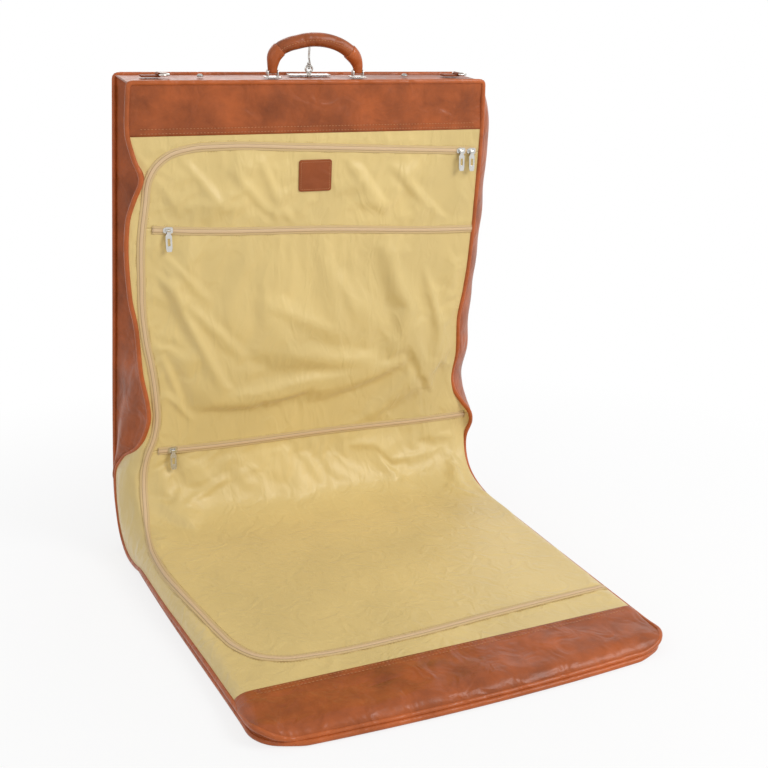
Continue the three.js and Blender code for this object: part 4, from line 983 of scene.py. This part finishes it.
class BAG_OT_leather_front(bpy.types.Operator):
    """Makes the leather header, footer and patch, with their stitching"""

    bl_idname = "bag.leather_front"
    bl_label = "Leather on the front"

    def execute(self, context):
        pitch = context.scene.bag_sizes.stitch_pitch
        header = front_band("header_leather", 0.0, s_at_height(HEADER_H), 160, 24, 0.0012, 0.0016)
        thicken(header, 0.0018)
        dress(header, MATERIALS["leather"], body="upper_half", replaces=["header_band"])
        footer = front_band("footer_leather", s_at_y(FOOTER_Y), S_END, 160, 48, 0.0012, 0.0022)
        thicken(footer, 0.0018)
        dress(footer, MATERIALS["leather"], body="lower_half", replaces=["footer_band"])
        c = np.linspace(-0.272, 0.276, 200)
        rows = {
            "header_stitches_low": (s_at_height(HEADER_H + 0.004), "upper_half"),
            "header_stitches_high": (s_at_height(HEADER_H + 0.0105), "upper_half"),
            "footer_stitches_near": (s_at_y(FOOTER_Y - 0.004), "lower_half"),
            "footer_stitches_far": (s_at_y(FOOTER_Y - 0.0105), "lower_half"),
        }
        for name, (s, body) in rows.items():
            points, normals = front_line(np.stack([c, np.full(len(c), s)], -1), 0.0016)
            row = stitches(name, points, normals, pitch, 0.0038, 0.00045)
            dress(row, MATERIALS["thread"], body=body)
        self.patch()
        return {"FINISHED"}

    def patch(self):
        half = PATCH_BOX[1][0]
        corner = 0.004
        bm = bmesh.new()
        bmesh.ops.create_grid(bm, x_segments=1, y_segments=1, size=1.0)
        for v in bm.verts:
            v.co = (v.co.x * half, v.co.y * PATCH_HALF, 0)
        bmesh.ops.bevel(bm, geom=bm.verts[:], offset=corner, segments=5, profile=0.5, affect="VERTICES",
                        material=-1)
        made = bmesh.ops.extrude_face_region(bm, geom=bm.faces[:])
        top = [g for g in made["geom"] if isinstance(g, bmesh.types.BMVert)]
        for v in top:
            v.co.z = 0.0024
        bmesh.ops.recalc_face_normals(bm, faces=bm.faces)
        rim = [e for e in bm.edges if all(v in top for v in e.verts)]
        bmesh.ops.bevel(bm, geom=rim, offset=0.0007, segments=2, profile=0.5, affect="EDGES", material=-1)
        for v in bm.verts:
            v.co = front(v.co.x, PATCH_S - v.co.y, v.co.z + 0.0006)
        mesh = bpy.data.meshes.new("patch_leather")
        bm.to_mesh(mesh)
        bm.free()
        piece = link("patch_leather", mesh)
        dress(piece, MATERIALS["patch"], body="upper_half", replaces=["patch"])
        inset = 0.0032
        w, h = half - inset, PATCH_HALF - inset
        corners = [(-w, -h), (w, -h), (w, h), (-w, h), (-w, -h)]
        path = np.vstack([np.linspace(a, b, 20) for a, b in zip(corners[:-1], corners[1:])])
        path[:, 1] += PATCH_S
        points, normals = front_line(path, 0.0031)
        row = stitches("patch_stitches", points, normals, 0.0036, 0.0027, 0.0004)
        dress(row, MATERIALS["thread"], body="upper_half")


# ---- Leather shell and edges ------------------------------------------------------------------------


def ring_of(edge, row_top, row_end, count=420):
    """A closed line round the bag: up the left side, across the top, down the right, across the end."""
    s_up = np.linspace(S_END, 0, count)
    s_down = s_up[::-1]
    return np.vstack([edge(-1, s_up), row_top[1:-1], edge(1, s_down), row_end[1:-1]])


def front_edge(side, s):
    sides = np.full(len(s), float(side))
    return front(sides * reach(sides, s), s)


def front_row(s, left_to_right=True, count=120):
    k = np.linspace(-1, 1, count) if left_to_right else np.linspace(1, -1, count)
    at = np.full(count, s)
    return front(k * reach(np.sign(k), at), at)


def outer_row(s, left_to_right=True, count=120):
    left, right = outer(-1, np.array([s]))[0], outer(1, np.array([s]))[0]
    k = np.linspace(0, 1, count) if left_to_right else np.linspace(1, 0, count)
    row = left + (right - left) * k[:, None]
    row[:, 1] = row[:, 1].max() - far_bow(row[:, 0], s)
    if s < S_BEND:
        row[:, 1] = left[1]
    return row


def softened_corners(ring, passes=3):
    """Rounds the corners of a closed line a little."""
    for _ in range(passes):
        ring = 0.25 * np.roll(ring, 1, axis=0) + 0.5 * ring + 0.25 * np.roll(ring, -1, axis=0)
    return ring


class BAG_OT_edges(bpy.types.Operator):
    """Makes the rolled leather beads round the front and round the outer shell"""

    bl_idname = "bag.edges"
    bl_label = "Edge beads"

    def execute(self, context):
        radius = context.scene.bag_sizes.bead_radius
        # both beads take the lighter leather, whose colour is a painted highlight
        ring = ring_of(front_edge, front_row(0.0), front_row(S_END, False))
        front_bead = tube("front_edge_bead", softened_corners(ring), radius, closed=True, sides=4)
        dress(front_bead, MATERIALS["bead_leather"],
              replaces=["front_bead", "lower_front_bead", "fold_front_bead_left", "fold_front_bead_right"])
        ring = ring_of(outer, outer_row(0.0), outer_row(S_END, False))
        back_bead = tube("outer_edge_bead", softened_corners(ring), radius, closed=True, sides=4)
        dress(back_bead, MATERIALS["bead_leather"],
              replaces=["back_bead", "lower_floor_bead", "fold_back_bead_left", "fold_back_bead_right"])
        return {"FINISHED"}


def side_wall(side, pleat):
    """Leather between the front's edge and the outer edge on one side, folded in like bellows."""

    def place(u, v):
        s = S_END + (0.0 - S_END) * v
        a = front_edge(side, s)
        b = outer(side, s)
        across = u if side > 0 else 1 - u
        mid = a + (b - a) * across[:, None]
        gap = np.linalg.norm(b - a, axis=1)
        deep = pleat * smooth(S_BEND - 0.02, S_BEND - 0.30, s)
        puff = -0.014 * smooth(S_BEND - 0.27, S_BEND - 0.10, s)
        puff = puff * (1 - smooth(S_BEND - 0.03, S_BEND + 0.05, s))
        shape = np.clip(1 - np.abs(2 * across - 1), 0, 1)
        fold = shape**0.85 * deep + np.sin(math.pi * across) ** 2 * puff
        if side > 0:  # this gusset has sprung outwards
            fold = -np.sin(math.pi * across) ** 0.8 * RIGHT_PUFF(s)
        ripple = 0.0012 * np.sin(s * 75 + 3 * across) * np.sin(math.pi * across) * np.clip(gap / 0.06, 0, 1)
        mid[:, 0] -= side * (fold + ripple) * np.clip(gap / 0.04, 0, 1)
        return mid, across * gap, s

    name = "gusset_leather_left" if side < 0 else "gusset_leather_right"
    piece = sheet_piece(name, 16, 260, place)
    thicken(piece, 0.0016)
    return piece


class BAG_OT_gussets(bpy.types.Operator):
    """Makes the bellows gussets down both sides and round to the far end"""

    bl_idname = "bag.gussets"
    bl_label = "Gussets"

    def execute(self, context):
        pleat = context.scene.bag_sizes.pleat_depth
        nodes = {-1: ["gusset_left", "fold_gusset_left", "lower_gusset"],
                 1: ["gusset_right", "fold_gusset_right"]}
        for side in (-1, 1):
            dress(side_wall(side, pleat), MATERIALS["leather"], replaces=nodes[side])
        return {"FINISHED"}


class BAG_OT_shell(bpy.types.Operator):
    """Makes the outer leather, the top panel and the far end wall"""

    bl_idname = "bag.shell"
    bl_label = "Outer leather"

    def execute(self, context):
        def place(u, v):
            s = S_END * v
            left, right = outer(-1, s), outer(1, s)
            point = left + (right - left) * u[:, None]
            point[:, 1] += far_bow(left[:, 0], s) - far_bow(point[:, 0], s)
            inner = smooth(0, 0.02, np.minimum(u, 1 - u)) * smooth(0, 0.015, np.minimum(s, S_END - s))
            upper = 1 - smooth(S_BEND - 0.1, S_BEND + 0.02, s)
            turn = np.clip((s - S_BEND) / (S_LEVEL - S_BEND), 0, 1)
            angle = LEAN - turn * (math.pi / 2 + LEAN)
            soft = np.sin(s * 19 + 1) * np.sin(u * 8 + s * 9) + 0.6 * np.sin(s * 37 + u * 21)
            lie = 0.0036 * inner + 0.0022 * np.clip(soft + 0.6, 0, None) * inner * upper
            point[:, 1] += np.cos(angle) * lie
            point[:, 2] += np.sin(angle) * lie
            return point, u, s

        shell = sheet_piece("outer_leather", 90, 300, place)
        thicken(shell, 0.0018, offset=-1.0)
        dress(shell, MATERIALS["leather"],
              replaces=["back_panel", "fold_leather", "lower_back_panel"])
        self.strip("top_leather", 0.0, False, ["top_panel"], "upper_half")
        self.strip("end_leather", S_END, True, [], "lower_half")
        return {"FINISHED"}

    def strip(self, name, s, flip, nodes, body):
        ahead, behind = front_row(s), outer_row(s)

        def place(u, v):
            i = np.arange(len(ahead))
            a = np.stack([np.interp(u * (len(ahead) - 1), i, ahead[:, k]) for k in range(3)], -1)
            b = np.stack([np.interp(u * (len(behind) - 1), i, behind[:, k]) for k in range(3)], -1)
            return a + (b - a) * v[:, None], u * 0.58, v * 0.09

        piece = sheet_piece(name, 119, 10, place, flip=flip)
        thicken(piece, 0.0018, offset=-1.0)
        dress(piece, MATERIALS["leather"], body=body, replaces=nodes)


# ---- Handle -------------------------------------------------------------------------------------------


def flatten(piece, origin, direction, ratio):
    """Scales a piece along one direction, about origin."""
    for v in piece.data.vertices:
        off = (v.co - origin).dot(direction)
        v.co += direction * off * (ratio - 1)


class BAG_OT_handle(bpy.types.Operator):
    """Makes the padded leather handle with its stitching and leg wraps"""

    bl_idname = "bag.handle"
    bl_label = "Handle"

    def execute(self, context):
        half = 0.070
        pivot = Vector(JOINT["handle_hinge"]["pos_m"])
        arch = [(-half, -0.001), (-half + 0.0005, 0.012), (-half + 0.003, 0.024), (-0.0580, 0.0345),
                (-0.0460, 0.0405), (-0.0310, 0.0445), (-0.0120, 0.0480), (0.0060, 0.0482), (0.0240, 0.0455),
                (0.0420, 0.0390), (0.0560, 0.0300), (0.0650, 0.0200), (half - 0.0005, 0.0090), (half, -0.001)]
        path = rounded(arch, 110)
        points = np.array([pivot + Vector((x, 0, 0)) + UP_AXIS * h for x, h in path])
        # flattened round section, thick in the grip and thin at the legs
        width = 0.0095 - 0.0030 * smooth(0.02, 0.002, path[:, 1])
        height = 0.0105 - 0.0045 * smooth(0.030, 0.0, path[:, 1])
        grip = tube("handle_leather", points, height, sides=6)
        depth = Vector((0, math.cos(LEAN), math.sin(LEAN)))
        ratio = float(np.mean(width / height))
        flatten(grip, pivot, depth, ratio)
        dress(grip, MATERIALS["leather"], body="handle", replaces=["handle"])
        for side, label in ((-1, "front"), (1, "back")):
            at = points + np.array(depth) * side * (height * ratio * 0.97)[:, None]
            inner = 12
            line = at[inner:-inner]
            normals = np.tile(np.array(depth) * side, (len(line), 1))
            row = stitches(f"handle_stitches_{label}", line, normals, 0.0048, 0.0034, 0.0005)
            dress(row, MATERIALS["thread"], body="handle")
        for end, label in ((slice(0, 22), "left"), (slice(-22, None), "right")):
            leg = points[end]
            wrap = tube(f"handle_wrap_{label}", leg, height[end] + 0.0012, sides=6)
            flatten(wrap, pivot, depth, ratio)
            # the wraps take the lighter leather, whose colour is a painted highlight
            dress(wrap, MATERIALS["bead_leather"], body="handle")
        return {"FINISHED"}


# ---- Metal and other hard fittings ----------------------------------------------------------------------


def refined(node, name, bevel, material, body):
    """A copy of a CAD fitting with its edges softened, which stands for it."""
    mesh = frame["nodes"][node].data.copy()
    bm = bmesh.new()
    bm.from_mesh(mesh)
    bmesh.ops.remove_doubles(bm, verts=bm.verts, dist=1e-5)
    bmesh.ops.dissolve_limit(bm, angle_limit=math.radians(3), verts=bm.verts, edges=bm.edges)
    sharp = [e for e in bm.edges if len(e.link_faces) == 2 and e.calc_face_angle(0) > math.radians(35)]
    bmesh.ops.bevel(bm, geom=sharp, offset=bevel, segments=2, profile=0.5, affect="EDGES", material=-1,
                    clamp_overlap=True)
    for face in bm.faces:
        face.smooth = True
    bm.to_mesh(mesh)
    bm.free()
    piece = link(name, mesh)
    edges = piece.modifiers.new("Shading", "WEIGHTED_NORMAL")
    edges.keep_sharp = True
    return dress(piece, material, body=body, replaces=[node])


class BAG_OT_fittings(bpy.types.Operator):
    """Finishes the sliders, pulls, rings, hook, brackets, tabs and studs"""

    bl_idname = "bag.fittings"
    bl_label = "Fittings"

    def execute(self, context):
        body_of = {n: b for b, nodes in frame["record"]["behaviour"]["bodies"].items() for n in nodes}
        slots = {p["node"]: p["material_slot"] for p in frame["record"]["subparts"]}
        plated = ("main_slider", "main_pull", "pocket_slider", "pocket_pull", "handle_bracket",
                  "hook_plate", "stud")
        softened = [n for n in frame["nodes"] if n.startswith(plated)]
        for node in softened:
            material = MATERIALS["steel"] if slots[node] == "steel" else MATERIALS["metal"]
            refined(node, node + "_plated", 0.00035, material, body_of[node])
        for node in ("ring_tab_left", "ring_tab_right"):
            refined(node, node + "_leather", 0.0005, MATERIALS["dark_leather"], body_of[node])
        self.rings()
        self.hook()
        return {"FINISHED"}

    def rings(self):
        for side in ("left", "right"):
            pivot = Vector(JOINT[f"d_ring_{side}_swing"]["pos_m"])
            back = Vector((0, math.cos(LEAN), math.sin(LEAN)))
            half, length = 0.0125, 0.016
            bow = [(0, -half), (length * 0.45, -half * 0.97), (length * 0.85, -half * 0.6), (length, 0),
                   (length * 0.85, half * 0.6), (length * 0.45, half * 0.97), (0, half)]
            line = np.vstack([rounded(bow, 40), np.linspace((0, half), (0, -half), 12)[1:-1]])
            points = [pivot + Vector((x, 0, 0)) + back * y for x, y in line]
            ring = tube(f"d_ring_{side}_wire", points, 0.0015, closed=True, sides=4)
            dress(ring, MATERIALS["metal"], body=f"d_ring_{side}", replaces=[f"d_ring_{side}"])

    def hook(self):
        eye_bar = Vector(JOINT["hook_tilt"]["pos_m"])
        back = Vector((0, math.cos(LEAN), math.sin(LEAN)))
        wire, loop, crook, high = 0.0017, 0.0044, 0.012, 0.0335
        turns = [math.radians(150 - a) for a in range(300, -1, -15)]
        line = [(loop * math.cos(a), loop * math.sin(a)) for a in turns]
        line += [(0.0006, loop + 0.006), (0.0, high - 0.008)]
        line += [(crook + crook * math.cos(a), high + crook * math.sin(a))
                 for a in np.linspace(math.pi, -math.radians(14), 16)]
        points = [eye_bar + back * y + UP_AXIS * h for y, h in rounded(line, 150)]
        radius = np.full(150, wire)
        radius[-3:] = wire * 1.25
        piece = tube("hook_wire", points, radius, sides=4)
        dress(piece, MATERIALS["metal"], body="hook", replaces=["hook"])
        refined("hook_eye", "hook_eye_plated", 0.0002, MATERIALS["metal"], "hook_eye")


class BAG_OT_inside(bpy.types.Operator):
    """Gives the pieces inside the bag their materials"""

    bl_idname = "bag.inside"
    bl_label = "Inside"

    def execute(self, context):
        kinds = {"leather": "leather", "dark_leather": "dark_leather", "nylon_cloth": "nylon",
                 "lining_cloth": "lining", "zip_tape": "tape", "webbing": "dark_leather",
                 "nickel": "metal", "steel": "steel"}
        for part in frame["record"]["subparts"]:
            node = frame["nodes"][part["node"]]
            node.data.materials.clear()
            node.data.materials.append(MATERIALS[kinds[part["material_slot"]]])
        return {"FINISHED"}


# ---- Stage ----------------------------------------------------------------------------------------------


def seen_rays(tree):
    """One for rays that show what they meet in the picture, directly or in a mirror."""
    rays = add(tree, "ShaderNodeLightPath").outputs
    direct = add(tree, "ShaderNodeMath", {0: rays["Is Camera Ray"], 1: rays["Is Glossy Ray"]},
                 operation="MAXIMUM")
    every = add(tree, "ShaderNodeMath", {0: direct.outputs[0], 1: rays["Is Transmission Ray"]},
                operation="MAXIMUM")
    return every.outputs[0]


class BAG_OT_stage(bpy.types.Operator):
    """Makes the pale floor, soft lights and camera"""

    bl_idname = "bag.stage"
    bl_label = "Stage"

    def execute(self, context):
        scene = context.scene
        scene.view_settings.view_transform = "Standard"
        self.floor()
        self.world(scene)
        lights = [
            ("key", (1.7, -1.7, 2.0), 1.3, 46.0), ("fill", (-2.4, -1.6, 1.6), 2.2, 12.0),
            ("rim", (0.3, 2.4, 2.2), 1.6, 14.0)]
        for name, at, size, power in lights:
            lamp = bpy.data.lights.new(name, "AREA")
            lamp.energy = power
            lamp.size = size
            light = bpy.data.objects.new(name, lamp)
            light.location = at
            light.rotation_euler = (Vector((0, 0, 0.3)) - Vector(at)).to_track_quat("-Z", "Y").to_euler()
            scene.collection.objects.link(light)
        self.camera(scene)
        return {"FINISHED"}

    def floor(self):
        bm = bmesh.new()
        bmesh.ops.create_grid(bm, x_segments=1, y_segments=1, size=6.0)
        for v in bm.verts:
            v.co.z = -0.0006
        mesh = bpy.data.meshes.new("floor")
        bm.to_mesh(mesh)
        bm.free()
        floor = link("floor", mesh)
        material, tree, shader = new_material("matt_white_paper")
        shader.inputs["Base Color"].default_value = (0.86, 0.86, 0.86, 1)
        shader.inputs["Roughness"].default_value = 0.9
        glow = add(tree, "ShaderNodeEmission", {"Color": (1, 1, 1, 1), "Strength": 1.0})
        seen = seen_rays(tree)
        # the paper's own shade shows only within 1.5 m of the bag, where its shadow falls
        place = add(tree, "ShaderNodeTexCoord").outputs["Object"]
        away = add(tree, "ShaderNodeVectorMath", {0: place}, operation="LENGTH")
        white = add(tree, "ShaderNodeMapRange", {"Value": away.outputs["Value"], "From Min": 0.45,
                                                 "From Max": 1.3, "To Min": 0.80, "To Max": 1.0})
        share = add(tree, "ShaderNodeMath", {0: seen, 1: white.outputs["Result"]},
                    operation="MULTIPLY")
        mix = add(tree, "ShaderNodeMixShader",
                  {0: share.outputs[0], 1: shader.outputs[0], 2: glow.outputs[0]})
        tree.links.new(mix.outputs[0], tree.nodes["Material Output"].inputs["Surface"])
        floor.data.materials.append(material)

    def world(self, scene):
        world = bpy.data.worlds.new("studio")
        scene.world = world
        world.use_nodes = True
        tree = world.node_tree
        tree.nodes.clear()
        soft = add(tree, "ShaderNodeBackground", {"Color": (1, 1, 1, 1), "Strength": 0.56})
        white = add(tree, "ShaderNodeBackground", {"Color": (1, 1, 1, 1), "Strength": 1.0})
        seen = seen_rays(tree)
        mix = add(tree, "ShaderNodeMixShader", {0: seen, 1: soft.outputs[0], 2: white.outputs[0]})
        output = add(tree, "ShaderNodeOutputWorld")
        tree.links.new(mix.outputs[0], output.inputs["Surface"])

    def camera(self, scene):
        data = bpy.data.cameras.new("camera")
        data.lens = 53.12
        data.sensor_width = 36.0
        camera = bpy.data.objects.new("camera", data)
        camera.location = (-0.63574, -1.47051, 0.76538)
        camera.rotation_euler = (math.radians(74.503), 0, math.radians(-24.244))
        scene.collection.objects.link(camera)
        scene.camera = camera


# ---- Panel and running -------------------------------------------------------------------------------------

STEPS = [BAG_OT_nylon, BAG_OT_zips, BAG_OT_leather_front, BAG_OT_edges, BAG_OT_gussets, BAG_OT_shell,
         BAG_OT_handle, BAG_OT_fittings, BAG_OT_inside, BAG_OT_stage]


class BAG_PT_panel(bpy.types.Panel):
    """Lists the steps that make the bag"""

    bl_idname = "BAG_PT_panel"
    bl_label = "Garment bag"
    bl_space_type = "VIEW_3D"
    bl_region_type = "UI"
    bl_category = "Garment bag"

    def draw(self, context):
        for settings in (context.scene.bag_sizes, context.scene.bag_colours):
            for name in settings.bl_rna.properties.keys():
                if name not in ("rna_type", "name"):
                    self.layout.prop(settings, name)
        for step in STEPS:
            self.layout.operator(step.bl_idname)


CLASSES = [BagSizes, BagColours, *STEPS, BAG_PT_panel]


def register():
    for item in CLASSES:
        bpy.utils.register_class(item)
    bpy.types.Scene.bag_sizes = PointerProperty(type=BagSizes)
    bpy.types.Scene.bag_colours = PointerProperty(type=BagColours)


def unregister():
    del bpy.types.Scene.bag_colours
    del bpy.types.Scene.bag_sizes
    for item in reversed(CLASSES):
        bpy.utils.unregister_class(item)


def main():
    register()
    MATERIALS.update(make_materials(bpy.context.scene.bag_colours))
    for step in STEPS:
        group, name = step.bl_idname.split(".")
        getattr(getattr(bpy.ops, group), name)()


if __name__ == "__main__":
    main()
